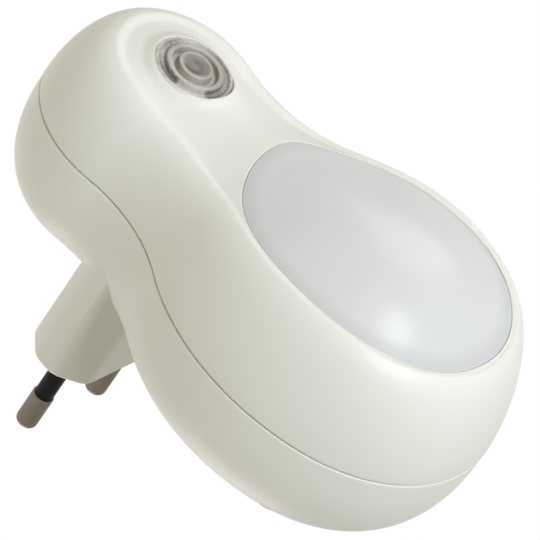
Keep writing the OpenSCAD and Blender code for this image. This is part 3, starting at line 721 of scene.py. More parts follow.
def rounded_corners(corners, radius, steps=8):
    """An outline with each of its corners rounded by an arc."""
    points = []
    for before, corner, after in zip(corners[-1:] + corners[:-1], corners, corners[1:] + corners[:1]):
        u, v = (before - corner).normalized(), (after - corner).normalized()
        half = u.angle(v) / 2
        centre = corner + (u + v).normalized() * radius / math.sin(half)
        start = corner + u * radius / math.tan(half) - centre
        end = corner + v * radius / math.tan(half) - centre
        for i in range(steps + 1):
            points.append(centre + (start + (end - start) * i / steps).normalized() * radius)
    return points


def plug_outline(inset):
    """The plug's eight-sided outline, moved inwards all round."""
    slope = math.atan2(PLUG_HEIGHT - PLUG_END_HEIGHT, PLUG_WIDTH - PLUG_FLAT_WIDTH)
    x1 = PLUG_FLAT_WIDTH / 2 - inset * math.tan(slope / 2)
    z1 = PLUG_HEIGHT / 2 - inset
    x2 = PLUG_WIDTH / 2 - inset
    z2 = PLUG_END_HEIGHT / 2 - inset * math.tan((math.pi / 2 - slope) / 2)
    corners = [(x1, z1), (x2, z2), (x2, -z2), (x1, -z1), (-x1, -z1), (-x2, -z2), (-x2, z2), (-x1, z1)]
    return [Vector(corner) for corner in corners]


def prism(name, rings, material):
    """A closed solid over rings of (x, z) points, each at a depth."""
    work = bmesh.new()
    made = [[work.verts.new(Vector((point.x, -depth, point.y)) * MM) for point in outline]
            for outline, depth in rings]
    for low, high in zip(made, made[1:]):
        for i in range(len(low)):
            j = (i + 1) % len(low)
            work.faces.new([low[i], low[j], high[j], high[i]])
    work.faces.new(made[0])
    work.faces.new(made[-1])
    mesh = bpy.data.meshes.new(name)
    work.to_mesh(mesh)
    work.free()
    return keep(name, mesh, material)


def boolean(piece, others, operation):
    """Adds solids to a piece, or cuts them out of it, and keeps the result as its mesh."""
    for other in others:
        modifier = piece.modifiers.new("join", "BOOLEAN")
        modifier.operation = operation
        modifier.solver = "EXACT"
        modifier.object = other
    graph = bpy.context.evaluated_depsgraph_get()
    mesh = bpy.data.meshes.new_from_object(piece.evaluated_get(graph))
    piece.modifiers.clear()
    old = piece.data
    piece.data = mesh
    bpy.data.meshes.remove(old)
    mesh.name = piece.name
    for other in others:
        bpy.data.objects.remove(other)
    return piece


# ---- materials, with grain and pitches in millimetres ----

BROWN, BLACK, RED, ORANGE = (0.12, 0.04, 0.01), (0.01, 0.01, 0.01), (0.55, 0.02, 0.01), (0.8, 0.22, 0.01)
YELLOW, GREEN, GOLD = (0.8, 0.6, 0.03), (0.03, 0.3, 0.06), (0.5, 0.32, 0.08)
TINNED = (0.55, 0.54, 0.52)

# Where a resistor's legs end and its colour bands lie, as shares of its length
LEG_SHARE = 0.14
FIRST_BAND = 0.22
BAND_PITCH = 0.14
BAND_WIDTH = 0.06


def material(name, build):
    """A material whose surface is what the build function makes."""
    made = bpy.data.materials.new(name)
    made.use_nodes = True
    made.node_tree.nodes.clear()
    recipe = Recipe(made.node_tree)
    surface = build(recipe)
    recipe.node("ShaderNodeOutputMaterial", {}, {"Surface": surface})
    return made


def object_place(recipe):
    """The place on the object, in metres in the row's frame."""
    return recipe.node("ShaderNodeTexCoord").output("Object")


def noise(recipe, scale, detail=3.0, roughness=0.5):
    """Noise over the object at a scale in millimetres."""
    return recipe.node("ShaderNodeTexNoise", {}, {
        "Vector": object_place(recipe), "Scale": 1.0 / (scale * MM), "Detail": detail,
        "Roughness": roughness})


def blend_colours(recipe, share, low, high):
    """Between two colour sockets or values, by a share from 0 to 1."""
    return recipe.node("ShaderNodeMix", {"data_type": "RGBA"}, {0: share, 6: low, 7: high}, 2)


def tint(recipe, share, low, high):
    """A colour between two given as red, green and blue."""
    return blend_colours(recipe, share, low + (1.0,), high + (1.0,))


def waves(place, pitch, shift=0.0):
    """A sine wave along a coordinate in metres."""
    return sine(place * (2 * math.pi / (pitch * MM)) + shift)


def relief(recipe, height, distance):
    """A bump whose height is in millimetres."""
    return recipe.node("ShaderNodeBump", {}, {
        "Height": height, "Distance": distance * MM, "Strength": 1.0})


def moulded(low, high, rough, grain, depth, specular=0.5):
    """Moulded plastic: a faint cloud in its colour, a fine grain and a slightly uneven sheen."""
    cloud = 18.0
    patch = 8.0 * grain

    def build(recipe):
        return recipe.node("ShaderNodeBsdfPrincipled", {}, {
            "Base Color": tint(recipe, noise(recipe, cloud), low, high),
            "Roughness": rough + 0.08 * (noise(recipe, patch) - 0.5),
            "Specular IOR Level": specular,
            "Normal": relief(recipe, noise(recipe, grain, 2.0), depth),
        })

    return build


def ramp(recipe, share, stops, stepped=False):
    """A colour or grey level that follows a share through stops of (place, red, green, blue)."""
    stops = [(place, tuple(colour) + (1.0,)) for place, *colour in stops]
    return recipe.node("ShaderNodeValToRGB", {"stops": stops, "stepped": stepped}, {0: share})


def grey_stops(*stops):
    return [(place, level, level, level) for place, level in stops]


def clear_plastic(recipe):
    """The cap's stepped rings, with painted reflections and shade: round the cap, each ring is mixed from a
    painted dark colour, standing for the tube's dark wall seen through it, and a painted lit colour,
    standing for the pale case.
    """
    across, _, height = recipe.separate(object_place(recipe))
    up = height - CASE["Window height"] * MM
    fine = noise(recipe, 0.9, 2.0)
    reach = root(across * across + up * up) / (CASE["Window radius"] * MM) + 0.09 * (fine - 0.5)
    turn = up.maths("ARCTAN2", across) / (2 * math.pi) + 0.5
    # Painted colours of the cap from its middle out: the first set is painted shade, with the tube's wall
    # seen through, and the second is painted light. Their last stops paint the rim's side wall pale, as if
    # it caught light.
    painted_shade_colours = ramp(recipe, reach, [
        (0.00, 0.17, 0.140, 0.118), (0.17, 0.11, 0.066, 0.054), (0.27, 0.13, 0.085, 0.072),
        (0.34, 0.30, 0.262, 0.214), (0.42, 0.42, 0.375, 0.310), (0.55, 0.42, 0.378, 0.312),
        (0.60, 0.40, 0.355, 0.295), (0.70, 0.36, 0.318, 0.265), (0.75, 0.15, 0.122, 0.098),
        (0.90, 0.16, 0.134, 0.108), (0.955, 0.50, 0.465, 0.390), (0.99, 0.93, 0.920, 0.860)])
    lit = ramp(recipe, reach, [
        (0.00, 0.20, 0.178, 0.150), (0.17, 0.22, 0.190, 0.158), (0.30, 0.36, 0.322, 0.270),
        (0.40, 0.58, 0.530, 0.455), (0.50, 0.56, 0.512, 0.440), (0.58, 0.58, 0.530, 0.455),
        (0.70, 0.60, 0.548, 0.472), (0.76, 0.62, 0.585, 0.515), (0.90, 0.72, 0.695, 0.620),
        (0.955, 0.78, 0.760, 0.680), (0.99, 0.93, 0.920, 0.860)])
    wander = turn + 0.02 * (noise(recipe, 0.5) - 0.5)
    # Painted light and shade round the cap: how much of the painted lit colour the rim and the raised ring
    # get in each direction round it, with the rest in painted shade.
    rim = ramp(recipe, wander, grey_stops(
        (0.00, 0.02), (0.022, 0.02), (0.035, 0.85), (0.12, 1.0), (0.165, 0.90), (0.185, 0.10),
        (0.25, 0.05), (0.30, 0.28), (0.42, 0.22), (0.50, 0.30), (0.57, 0.72), (0.66, 0.66),
        (0.74, 0.30), (0.77, 0.32), (0.83, 0.62), (0.89, 0.45), (0.93, 0.05), (1.0, 0.02)))
    ring_light_share = ramp(recipe, wander, grey_stops(
        (0.00, 0.90), (0.10, 1.0), (0.17, 0.90), (0.23, 0.35), (0.32, 0.12), (0.42, 0.20),
        (0.50, 0.55), (0.58, 0.85), (0.67, 0.65), (0.75, 0.10), (0.83, 0.45), (0.92, 0.60), (1.0, 0.90)))
    # Painted light on the middle lens's right, and painted shade with the sensor's red-brown seen through
    # it on its left.
    centre_light_share = smooth(across / (3.0 * MM) + 0.6)
    # The share of painted light: the middle's, then the raised ring's, then the rim's, with noise.
    share = mix(centre_light_share, ring_light_share, smooth((reach - 0.24) / 0.12))
    share = mix(share, rim, smooth((reach - 0.70) / 0.07)) + 0.7 * (noise(recipe, 0.6) - 0.5)
    return recipe.node("ShaderNodeBsdfPrincipled", {}, {
        "Base Color": blend_colours(recipe, share, painted_shade_colours, lit),
        "Roughness": 0.06 + 0.05 * fine,
        "IOR": 1.49,
        "Transmission Weight": 0.2,
        "Normal": relief(recipe, fine, 0.01),
    })


def drawn_nickel(recipe):
    """Nickel plating over drawn brass, with streaks along the pin."""
    streaks = recipe.node("ShaderNodeMapping", {}, {
        "Vector": object_place(recipe), "Scale": (1.0, 0.05, 1.0)})
    drawn = recipe.node("ShaderNodeTexNoise", {}, {"Vector": streaks, "Scale": 4000.0, "Detail": 2.0})
    return recipe.node("ShaderNodeBsdfPrincipled", {}, {
        "Base Color": tint(recipe, noise(recipe, 2.0), (0.18, 0.148, 0.112), (0.24, 0.205, 0.160)),
        "Metallic": 1.0,
        "Roughness": 0.38 + 0.16 * drawn,
        "Normal": relief(recipe, drawn, 0.002),
    })


def brushed_zinc(recipe):
    """Zinc plating with fine scratches."""
    scratches = noise(recipe, 0.15, 4.0, 0.7)
    return recipe.node("ShaderNodeBsdfPrincipled", {}, {
        "Base Color": tint(recipe, noise(recipe, 1.2), (0.50, 0.51, 0.54), (0.60, 0.61, 0.62)),
        "Metallic": 0.95,
        "Roughness": 0.25 + 0.25 * scratches,
        "Normal": relief(recipe, scratches, 0.004),
    })


def solder_mask(recipe):
    """Green lacquer over copper tracks, which show lighter, and a woven board."""
    across, _, up = recipe.separate(object_place(recipe))
    weave_pitch, track_pitch = 0.4, 5.0
    weave = waves(across, weave_pitch) * waves(up, weave_pitch)
    tracks = above(waves(across, track_pitch, 3.0 * noise(recipe, 6.0)), 0.1)
    return recipe.node("ShaderNodeBsdfPrincipled", {}, {
        "Base Color": tint(recipe, 0.6 * tracks + 0.4 * noise(recipe, 2.0),
                           (0.012, 0.10, 0.035), (0.03, 0.22, 0.07)),
        "Roughness": 0.25 + 0.1 * tracks,
        "Normal": relief(recipe, 0.3 * weave + tracks, 0.02),
    })


def photoresistor(recipe):
    """A serpentine track of red-brown film on a pale disc."""
    across, _, up = recipe.separate(object_place(recipe))
    bend_pitch, track_pitch = 1.1, 0.8
    track = above(waves(across, track_pitch, 0.35 * waves(up, bend_pitch)), -0.2)
    return recipe.node("ShaderNodeBsdfPrincipled", {}, {
        "Base Color": tint(recipe, track, (0.42, 0.30, 0.22), (0.20, 0.045, 0.03)),
        "Roughness": 0.15 + 0.1 * noise(recipe, 0.4),
        "Coat Weight": 0.5 + 0.2 * noise(recipe, 0.8),
        "Normal": relief(recipe, track, 0.02),
    })


def phosphor(node):
    """A clear epoxy lens that is yellow over its chip."""
    low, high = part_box(node)
    middle_x, middle_z = ((low[axis] + high[axis]) / 2 for axis in (0, 2))
    half_w = (high[0] - low[0]) / 2

    def build(recipe):
        across, _, up = recipe.separate(object_place(recipe))
        x, z = across - middle_x, up - middle_z
        away = root(x * x + z * z) / half_w
        return recipe.node("ShaderNodeBsdfPrincipled", {}, {
            "Base Color": ramp(recipe, away, [
                (0.0, 0.90, 0.72, 0.20), (0.45, 0.88, 0.76, 0.32), (0.7, 0.86, 0.85, 0.78)]),
            "Roughness": 0.12 + 0.06 * noise(recipe, 0.8),
            "Coat Weight": 0.6 + 0.2 * noise(recipe, 2.0),
        })

    return build


def banded(node, body, bands):
    """A lacquered resistor: tinned legs at its ends, and colour bands round its body."""
    low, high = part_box(node)
    lengths = [high[axis] - low[axis] for axis in range(3)]
    longest = lengths.index(max(lengths))
    stops = [(0.0, *TINNED), (LEG_SHARE, *body)]
    for i, band in enumerate(bands):
        start = FIRST_BAND + BAND_PITCH * i
        stops += [(start, *band), (start + BAND_WIDTH, *body)]
    stops.append((1.0 - LEG_SHARE, *TINNED))

    def build(recipe):
        along = recipe.separate(object_place(recipe))[longest]
        share = (along - low[longest]) / lengths[longest]
        return recipe.node("ShaderNodeBsdfPrincipled", {}, {
            "Base Color": ramp(recipe, share, stops, stepped=True),
            "Roughness": 0.25 + 0.12 * noise(recipe, 0.6),
            "Normal": relief(recipe, noise(recipe, 1.0), 0.03),
        })

    return build


def printed_sleeve(node):
    """A shrunk dark sleeve with a pale stripe down one side."""
    low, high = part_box(node)
    middle, half = (low[0] + high[0]) / 2, (high[0] - low[0]) / 2

    def build(recipe):
        across = recipe.separate(object_place(recipe))[0]
        stripe = above((across - middle) / half, 0.8)
        return recipe.node("ShaderNodeBsdfPrincipled", {}, {
            "Base Color": tint(recipe, stripe, (0.015, 0.022, 0.075), (0.60, 0.62, 0.64)),
            "Roughness": 0.22 + 0.12 * noise(recipe, 1.5),
            "Normal": relief(recipe, noise(recipe, 2.5), 0.02),
        })

    return build


def frosted_plastic(recipe):
    """Frosted plastic, with painted shade that makes it a little darker towards the dome's rim, inside the
    ledge that carries it.
    """
    low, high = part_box("lens")
    ledge = (CASE["Dome gap"] + CASE["Dome flange width"]) * MM
    half_w = (high[0] - low[0]) / 2 - ledge
    half_h = (high[2] - low[2]) / 2 - ledge
    across, _, height = recipe.separate(object_place(recipe))
    power = CASE["Dome squareness"]
    sideways = (magnitude(across) / half_w) ** power
    upright = (magnitude(height - (high[2] + low[2]) / 2) / half_h) ** power
    reach = (sideways + upright) ** (1.0 / power)
    cloud = tint(recipe, noise(recipe, 12.0), (0.65, 0.652, 0.642), (0.68, 0.682, 0.668))
    # Painted shade: a darker colour towards the dome's rim.
    rim = tint(recipe, noise(recipe, 12.0), (0.57, 0.572, 0.552), (0.60, 0.602, 0.580))
    return recipe.node("ShaderNodeBsdfPrincipled", {}, {
        "Base Color": blend_colours(recipe, smooth((reach - 0.86) / 0.14), cloud, rim),
        "Roughness": 0.22 + 0.08 * (noise(recipe, 1.6) - 0.5),
        "Normal": relief(recipe, noise(recipe, 0.2, 2.0), 0.0015),
    })


ivory = material("ivory_plastic", moulded(
    (0.80, 0.79, 0.71), (0.82, 0.81, 0.735), rough=0.42, grain=0.25, depth=0.004))
frosted = material("frosted_plastic", frosted_plastic)
black = material("black_plastic", moulded(
    (0.005, 0.005, 0.004), (0.009, 0.009, 0.007), rough=0.5, grain=0.3, depth=0.004, specular=0.1))
clear = material("clear_plastic", clear_plastic)
nickel = material("nickel_plated_brass", drawn_nickel)


# ---- the case ----

# The window's face, the panel's underside behind it, the case's floor and the screw seats
window_depth = CASE["Small front depth"] + WINDOW_STAND
window_back = CASE["Small front depth"] - CASE["Panel wall"]
window_z = CASE["Window height"]
floor_depth = CASE["Back depth"] + CASE["Wall"]
boss_depth = CASE["Back depth"] + WELL_DEPTH + SCREW_SEAT


def window_cutter():
    """The recess and hole for the window, with a rounded mouth in the collar."""
    recess = CASE["Window radius"] + WINDOW_GAP
    hole = SPIGOT_RADIUS + WINDOW_GAP
    ledge = window_depth - WINDOW_RING
    mouth = WINDOW_MOUTH
    panel_half = CASE["Small lobe radius"] - CASE["Shoulder"] - CASE["Bead width"]
    arch = (1.0 - ((recess + mouth) / panel_half) ** 2) ** CASE["Crown fullness"]
    surface = CASE["Small front depth"] - CASE["Panel sink"]
    surface += CASE["Panel crown"] * arch + CASE["Collar height"]
    back, front = window_back - WINDOW_CUT_BACK, surface + WINDOW_CUT_FRONT
    section = [(0.0, back), (hole, back), (hole, ledge), (recess, ledge)]
    section += arc((recess + mouth, surface - mouth), mouth, 180.0, 90.0, 6)
    section += [(recess + mouth, front), (0.0, front)]
    return turned("window_hole", section, 0.0, window_z, ivory, WINDOW_TURNS)


def front_cover():
    """The front cover, with the recess and hole for the window cut out of it."""
    piece = grow("front_shell", case_tree("front_cover_shape", front_bands), CASE, ivory)
    boolean(piece, [window_cutter()], "DIFFERENCE")
    hand_over(shade(piece), "ivory_plastic", "front_cover")


def plug_body():
    """The plug's eight-sided body, with its end face rounded all round."""
    rings = []
    steps = 6
    for i in range(steps + 1):
        angle = math.pi / 2 * i / steps
        inset = PLUG_END_RADIUS * (1 - math.sin(angle))
        outline = rounded_corners(plug_outline(inset), PLUG_EDGE_RADIUS - inset / 2)
        rings.append((outline, PLUG_END_RADIUS * (1 - math.cos(angle))))
    rings.append((rounded_corners(plug_outline(0.0), PLUG_EDGE_RADIUS), floor_depth + PLUG_COLLAR))
    return prism("plug_body", rings, ivory)


def plug_cutters():
    """The space inside the plug, the pocket between its pins, and the pins' holes."""
    hollow = plug_outline(CASE["Wall"])
    pocket_w = PIN_PITCH / 2 - PIN_RADIUS - PRESS_GAP - PIN_WALL
    pocket_h = PLUG_HEIGHT / 2 - CASE["Wall"]
    pocket = [Vector(corner) for corner in (
        (pocket_w, pocket_h), (pocket_w, -pocket_h), (-pocket_w, -pocket_h), (-pocket_w, pocket_h))]
    top = floor_depth + PLUG_COLLAR + CUT_MARGIN
    cutters = [
        prism("plug_hollow", [(hollow, floor_depth), (hollow, top)], ivory),
        prism("plug_pocket", [(pocket, PLUG_END_THICKNESS), (pocket, floor_depth + OVERLAP)], ivory),
    ]
    sleeve_hole = SLEEVE_RADIUS + PRESS_GAP
    mouth = PIN_MOUTH
    section = [(0.0, -CUT_MARGIN), (sleeve_hole + mouth, -CUT_MARGIN)]
    section += arc((sleeve_hole + mouth, mouth), mouth, -90.0, -180.0, 5)
    section += [(sleeve_hole, SLEEVE_ROOT), (PIN_RADIUS + PRESS_GAP, SLEEVE_ROOT)]
    section += [(PIN_RADIUS + PRESS_GAP, floor_depth + OVERLAP), (0.0, floor_depth + OVERLAP)]
    for side in (-1, 1):
        cutters.append(turned("pin_hole", section, side * PIN_PITCH / 2, 0.0, ivory, COARSE_TURNS))
    return cutters


def well_cutter(x, z):
    """A screw well in the back, with a rounded mouth, and the hole in its seat."""
    back = CASE["Back depth"]
    mouth = WELL_MOUTH
    section = [(0.0, back - CUT_MARGIN), (WELL_RADIUS + mouth, back - CUT_MARGIN)]
    section += arc((WELL_RADIUS + mouth, back + mouth), mouth, -90.0, -180.0, 6)
    section += [(WELL_RADIUS, back + WELL_DEPTH), (SCREW_HOLE_RADIUS, back + WELL_DEPTH)]
    section += [(SCREW_HOLE_RADIUS, boss_depth + OVERLAP), (0.0, boss_depth + OVERLAP)]
    return turned("screw_well", section, x, z, ivory, FINE_TURNS)


def back_cover():
    """The back cover with its plug, screw bosses and board posts, bored for pins and screws."""
    piece = grow("back_shell", case_tree("back_cover_shape", back_bands), CASE, ivory)
    solids = [plug_body()]
    foot = floor_depth - OVERLAP
    solids += [post("boss", x, z, WELL_RADIUS + BOSS_WALL, foot, boss_depth, ivory)
               for x, z in COVER_SCREWS]
    solids += [post("board_post", x, z, PILOT_RADIUS + BOSS_WALL, foot, BOARD_DEPTH, ivory)
               for x, z in BOARD_SCREWS]
    boolean(piece, solids, "UNION")
    cutters = plug_cutters()
    cutters += [well_cutter(x, z) for x, z in COVER_SCREWS]
    pilot_end = BOARD_DEPTH - BOARD_SCREW_REACH
    cutters += [post("pilot", x, z, PILOT_RADIUS, pilot_end, BOARD_DEPTH + CUT_MARGIN, ivory)
                for x, z in BOARD_SCREWS]
    boolean(piece, cutters, "DIFFERENCE")
    hand_over(shade(piece), "ivory_plastic", "back_cover")


def light_dome():
    """The frosted light dome in the front cover's opening."""
    piece = grow("light_dome", case_tree("light_dome_shape", dome_bands), CASE, frosted)
    hand_over(shade(piece, DOME_SHARP_EDGE), "frosted_plastic", "lens")


def window():
    """The stepped cap: a rim, a groove, a raised ring, a deeper groove and a dished lens."""
    r, edge, bevel = CASE["Window radius"], WINDOW_EDGE_RADIUS, WINDOW_BEVEL
    low, up = -WINDOW_GROOVE, WINDOW_RELIEF
    section = [(0.0, window_back - window_depth), (SPIGOT_RADIUS, window_back - window_depth)]
    section += [(SPIGOT_RADIUS, -WINDOW_RING), (r, -WINDOW_RING)]
    section += arc((r - edge, -edge), edge, 0.0, 90.0, 6)
    section += [(RIM_END * r, -WINDOW_RIM_DROP)]
    section += [(OUTER_GROOVE[1] * r, low / 2), (OUTER_GROOVE[0] * r, low / 2)]
    section += arc((RAISED_RING[1] * r - bevel, up - bevel), bevel, 0.0, 90.0, 3)
    section += arc((RAISED_RING[0] * r + bevel, up - bevel), bevel, 90.0, 180.0, 3)
    section += [(INNER_GROOVE * r, low), (LENS_RADIUS + LENS_FOOT, low)]
    section += arc((LENS_RADIUS - bevel, LENS_STAND - bevel), bevel, 0.0, 90.0, 4)
    steps = 10
    for i in range(steps + 1):
        share = DISH_SHARE * (1 - i / steps)
        dip = LENS_DISH * math.cos(math.pi / 2 * share / DISH_SHARE)
        section.append((LENS_RADIUS * share, LENS_STAND - dip))
    section = [(radius, height + window_depth) for radius, height in section]
    piece = turned("window_cap", section, 0.0, window_z, clear, WINDOW_TURNS)
    hand_over(shade(piece, WINDOW_SHARP_EDGE), "clear_plastic", "sensor_window")


def pin(side, node):
    """A plug pin: its tail with a solder cup, the neck under the sleeve, and the rounded tip."""
    tail = -floor_depth - PIN_TAIL
    neck = SLEEVE_RADIUS - SLEEVE_WALL
    rim = PIN_STEP_RADIUS
    section = [(0.0, tail + CUP_DEPTH), (CUP_RADIUS, tail + CUP_DEPTH), (CUP_RADIUS, tail)]
    section += [(TAIL_RADIUS, tail), (TAIL_RADIUS, -floor_depth), (PIN_RADIUS, -floor_depth)]
    section += [(PIN_RADIUS, -SLEEVE_ROOT), (neck, -SLEEVE_ROOT), (neck, SLEEVE_REACH)]
    section += arc((PIN_RADIUS - rim, SLEEVE_REACH + rim), rim, -90.0, 0.0, 4)
    nose = PIN_NOSE_RADIUS
    section += arc((PIN_RADIUS - nose, PIN_REACH - nose), nose, 0.0, 90.0, 10)
    section += [(0.0, PIN_REACH)]
    name = "pin_tip_" + node.split("_")[1]
    piece = turned(name, section, side * PIN_PITCH / 2, 0.0, nickel, FINE_TURNS, towards_wall=True)
    hand_over(shade(piece), "nickel_plated_brass", node)


def sleeve(side, node):
    """The black sleeve round a pin's neck."""
    bore = SLEEVE_RADIUS - SLEEVE_WALL + PRESS_GAP
    edge = SLEEVE_EDGE_RADIUS
    section = [(bore, -SLEEVE_ROOT), (SLEEVE_RADIUS, -SLEEVE_ROOT)]
    section += arc((SLEEVE_RADIUS - edge, SLEEVE_REACH - edge), edge, 0.0, 90.0, 4)
    section += [(bore, SLEEVE_REACH), (bore, -SLEEVE_ROOT)]
    name = "pin_sleeve_" + node.split("_")[1]
    piece = turned(name, section, side * PIN_PITCH / 2, 0.0, black, FINE_TURNS, towards_wall=True)
    hand_over(shade(piece), "black_plastic", node)


def dress_inside():
    """Finishes for the pieces inside the case, whose shapes stay as they are."""
    finishes = {
        "sensor_tube": ("tube_black", moulded(
            (0.008, 0.008, 0.007), (0.014, 0.014, 0.012), rough=0.45, grain=0.3, depth=0.006)),
        "light_sensor": ("sensor_face", photoresistor),
        "circuit_board": ("board_green", solder_mask),
        "dropper_capacitor": ("red_epoxy", moulded(
            (0.38, 0.035, 0.02), (0.50, 0.06, 0.035), rough=0.25, grain=1.2, depth=0.05)),
        "smoothing_capacitor": ("capacitor_sleeve", printed_sleeve("smoothing_capacitor")),
        "bridge_rectifier": ("rectifier_epoxy", moulded(
            (0.012, 0.012, 0.014), (0.02, 0.02, 0.022), rough=0.5, grain=0.15, depth=0.01)),
        "transistor": ("transistor_epoxy", moulded(
            (0.012, 0.012, 0.013), (0.022, 0.022, 0.024), rough=0.5, grain=0.15, depth=0.01)),
        "fusible_resistor": ("resistor_green", banded(
            "fusible_resistor", (0.06, 0.22, 0.10), (BROWN, BLACK, BLACK, GOLD))),
        "bleed_resistor": ("resistor_blue", banded(
            "bleed_resistor", (0.12, 0.33, 0.50), (BROWN, BLACK, GREEN, GOLD))),
        "bias_resistor": ("resistor_beige", banded(
            "bias_resistor", (0.60, 0.45, 0.22), (YELLOW, RED, ORANGE, GOLD))),
        "live_wire": ("wire_brown", moulded(
            (0.12, 0.04, 0.015), (0.16, 0.06, 0.025), rough=0.4, grain=0.4, depth=0.01)),
        "neutral_wire": ("wire_blue", moulded(
            (0.02, 0.10, 0.38), (0.04, 0.14, 0.46), rough=0.4, grain=0.4, depth=0.01)),
        "cover_screws": ("cover_screw_zinc", brushed_zinc),
        "board_screws": ("board_screw_zinc", brushed_zinc),
    }
    for number in range(1, 5):
        node = f"led_{number}"
        finishes[node] = (f"led_epoxy_{number}", phosphor(node))
    for node, (name, build) in finishes.items():
        finish = material(name, build)
        for holder in frame["nodes"][node].material_slots:
            holder.material = finish


front_cover()
back_cover()
light_dome()
window()
for side, name in ((-1, "left"), (1, "right")):
    pin(side, "pin_" + name)
    sleeve(side, "sleeve_" + name)
dress_inside()


# ---- floor, lights and camera ----

FLOOR_HEIGHT = -1000.0
FLOOR_REACH = 5000.0

CAMERA_TARGET = Vector((2.436, -35.0, -16.560))
CAMERA_DISTANCE = 1000.0
CAMERA_AZIMUTH = math.radians(50.3277)
CAMERA_ELEVATION = math.radians(-15.0572)
CAMERA_ROLL = math.radians(-42.6345)
PIXELS_PER_MM = 5.929124
IMAGE_SIDE = 540.0
SENSOR_WIDTH = 36.0
NEAR_CLIP = 10.0
FAR_CLIP = 20000.0

LAMP_DISTANCE = 900.0
LAMP_SIZE = 500.0
KEY_SIZE = 220.0
SHEEN_SIZE = 380.0
COOL = (0.90, 0.96, 1.09)
NEUTRAL = (0.96, 0.98, 1.04)
PAPER_WHITE = (0.95, 0.95, 0.94, 1.0)
PAPER_GLOW = 0.8
STUDIO_WHITE = (1.0, 1.0, 1.0, 1.0)
FILL_COLOUR = (1.0, 0.93, 0.70, 1.0)
FILL_STRENGTH = 0.33


def seen_directly(recipe):
    """1 for what a camera, a mirror or clear plastic shows, and 0 for light that falls on the case."""
    path = recipe.node("ShaderNodeLightPath")
    seen = at_least(path.output("Is Camera Ray"), path.output("Is Glossy Ray"))
    return at_least(seen, path.output("Is Transmission Ray"))


def paper(recipe):
    """Pale paper that shows nearly white, keeps shadows, and can be looked through from below."""
    lit = recipe.node("ShaderNodeBsdfPrincipled", {}, {
        "Base Color": tint(recipe, noise(recipe, 200.0), (0.80, 0.80, 0.79), (0.83, 0.83, 0.82)),
        "Roughness": 0.9})
    pale = recipe.node("ShaderNodeEmission", {}, {"Color": PAPER_WHITE, "Strength": 1.0})
    shown = recipe.node("ShaderNodeMixShader", {}, {0: PAPER_GLOW * seen_directly(recipe), 1: lit, 2: pale})
    under = recipe.node("ShaderNodeNewGeometry").output("Backfacing")
    return recipe.node("ShaderNodeMixShader", {}, {
        0: under, 1: shown, 2: recipe.node("ShaderNodeBsdfTransparent")})


def floor():
    """A wide sheet of paper below the part."""
    mesh = bpy.data.meshes.new("floor")
    corners = [Vector((x, y, FLOOR_HEIGHT)) * MM for x, y in (
        (-FLOOR_REACH, -FLOOR_REACH), (FLOOR_REACH, -FLOOR_REACH),
        (FLOOR_REACH, FLOOR_REACH), (-FLOOR_REACH, FLOOR_REACH))]
    mesh.from_pydata(corners, [], [(0, 1, 2, 3)])
    mesh.materials.append(material("floor_paper", paper))
    piece = bpy.data.objects.new("floor", mesh)
    bpy.context.scene.collection.objects.link(piece)


def camera_axes():
    """The view's right, its up, and the way out of it towards the camera."""
    out = Vector((
        -math.sin(CAMERA_AZIMUTH) * math.cos(CAMERA_ELEVATION),
        -math.cos(CAMERA_AZIMUTH) * math.cos(CAMERA_ELEVATION),
        math.sin(CAMERA_ELEVATION)))
    level = Vector((0.0, 0.0, 1.0)).cross(out).normalized()
    upright = out.cross(level)
    right = level * math.cos(CAMERA_ROLL) + upright * math.sin(CAMERA_ROLL)
    up = upright * math.cos(CAMERA_ROLL) - level * math.sin(CAMERA_ROLL)
    return right, up, out


RIGHT, UP, OUT = camera_axes()


def aim(thing, place, right, up, out):
    """Puts a camera or lamp at a place, looking against out."""
    thing.matrix_world = Matrix.Translation(place * MM) @ Matrix((right, up, out)).transposed().to_4x4()


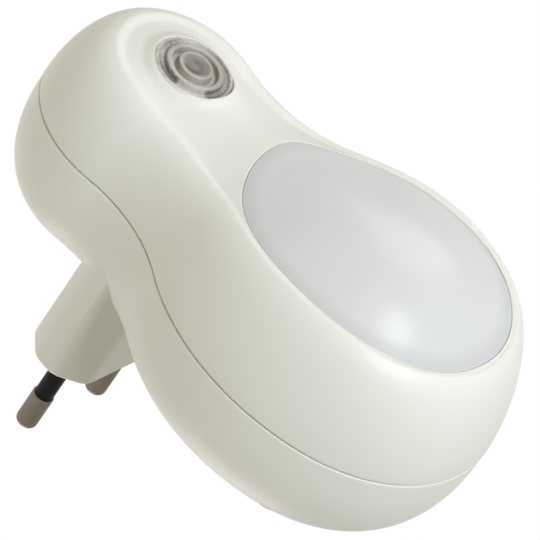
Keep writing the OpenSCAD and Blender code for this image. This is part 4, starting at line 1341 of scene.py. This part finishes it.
def camera():
    """A long lens that looks at the part from the front, its left and below."""
    data = bpy.data.cameras.new("camera")
    data.sensor_width = SENSOR_WIDTH
    data.lens = PIXELS_PER_MM * CAMERA_DISTANCE * SENSOR_WIDTH / IMAGE_SIDE
    data.clip_start = NEAR_CLIP * MM
    data.clip_end = FAR_CLIP * MM
    thing = bpy.data.objects.new("camera", data)
    bpy.context.scene.collection.objects.link(thing)
    aim(thing, CAMERA_TARGET + OUT * CAMERA_DISTANCE, RIGHT, UP, OUT)
    bpy.context.scene.camera = thing


def softbox(name, direction, size, power, colour=NEUTRAL, mirrored=True):
    """A round area lamp that faces the case from a direction, and shows in gloss if mirrored."""
    out = direction.normalized()
    side = Vector((0.0, 0.0, 1.0)).cross(out).normalized()
    data = bpy.data.lights.new(name, "AREA")
    data.shape = "DISK"
    data.size = size * MM
    data.energy = power
    data.color = colour
    thing = bpy.data.objects.new(name, data)
    thing.visible_camera = False
    thing.visible_glossy = mirrored
    bpy.context.scene.collection.objects.link(thing)
    aim(thing, CAMERA_TARGET + out * LAMP_DISTANCE, side, out.cross(side), out)


def world():
    """White where it is seen, and a dimmer warm fill where it lights the case."""
    studio = bpy.data.worlds.new("studio")
    bpy.context.scene.world = studio
    studio.use_nodes = True
    studio.node_tree.nodes.clear()
    recipe = Recipe(studio.node_tree)
    white = recipe.node("ShaderNodeBackground", {}, {"Color": STUDIO_WHITE, "Strength": 1.0})
    fill = recipe.node("ShaderNodeBackground", {}, {"Color": FILL_COLOUR, "Strength": FILL_STRENGTH})
    both = recipe.node("ShaderNodeMixShader", {}, {0: seen_directly(recipe), 1: fill, 2: white})
    recipe.node("ShaderNodeOutputWorld", {}, {"Surface": both})


floor()
camera()
softbox("front", RIGHT * 0.6 + OUT * 0.8, LAMP_SIZE, power=6.2, colour=COOL)
softbox("key", RIGHT * 0.72 + UP * 0.59 + OUT * 0.37, KEY_SIZE, power=0.7)
softbox("side", OUT * 0.1 - RIGHT, LAMP_SIZE, power=2.3, mirrored=False)
softbox("top", UP + OUT * 0.1, LAMP_SIZE, power=0.8, mirrored=False)
softbox("sheen", RIGHT * 0.58 + UP * 0.77 - OUT * 0.28, SHEEN_SIZE, power=0.5)
softbox("back", Vector((0.0, 1.0, 0.0)), LAMP_SIZE, power=1.5)
world()

bpy.context.scene.view_settings.view_transform = "Standard"
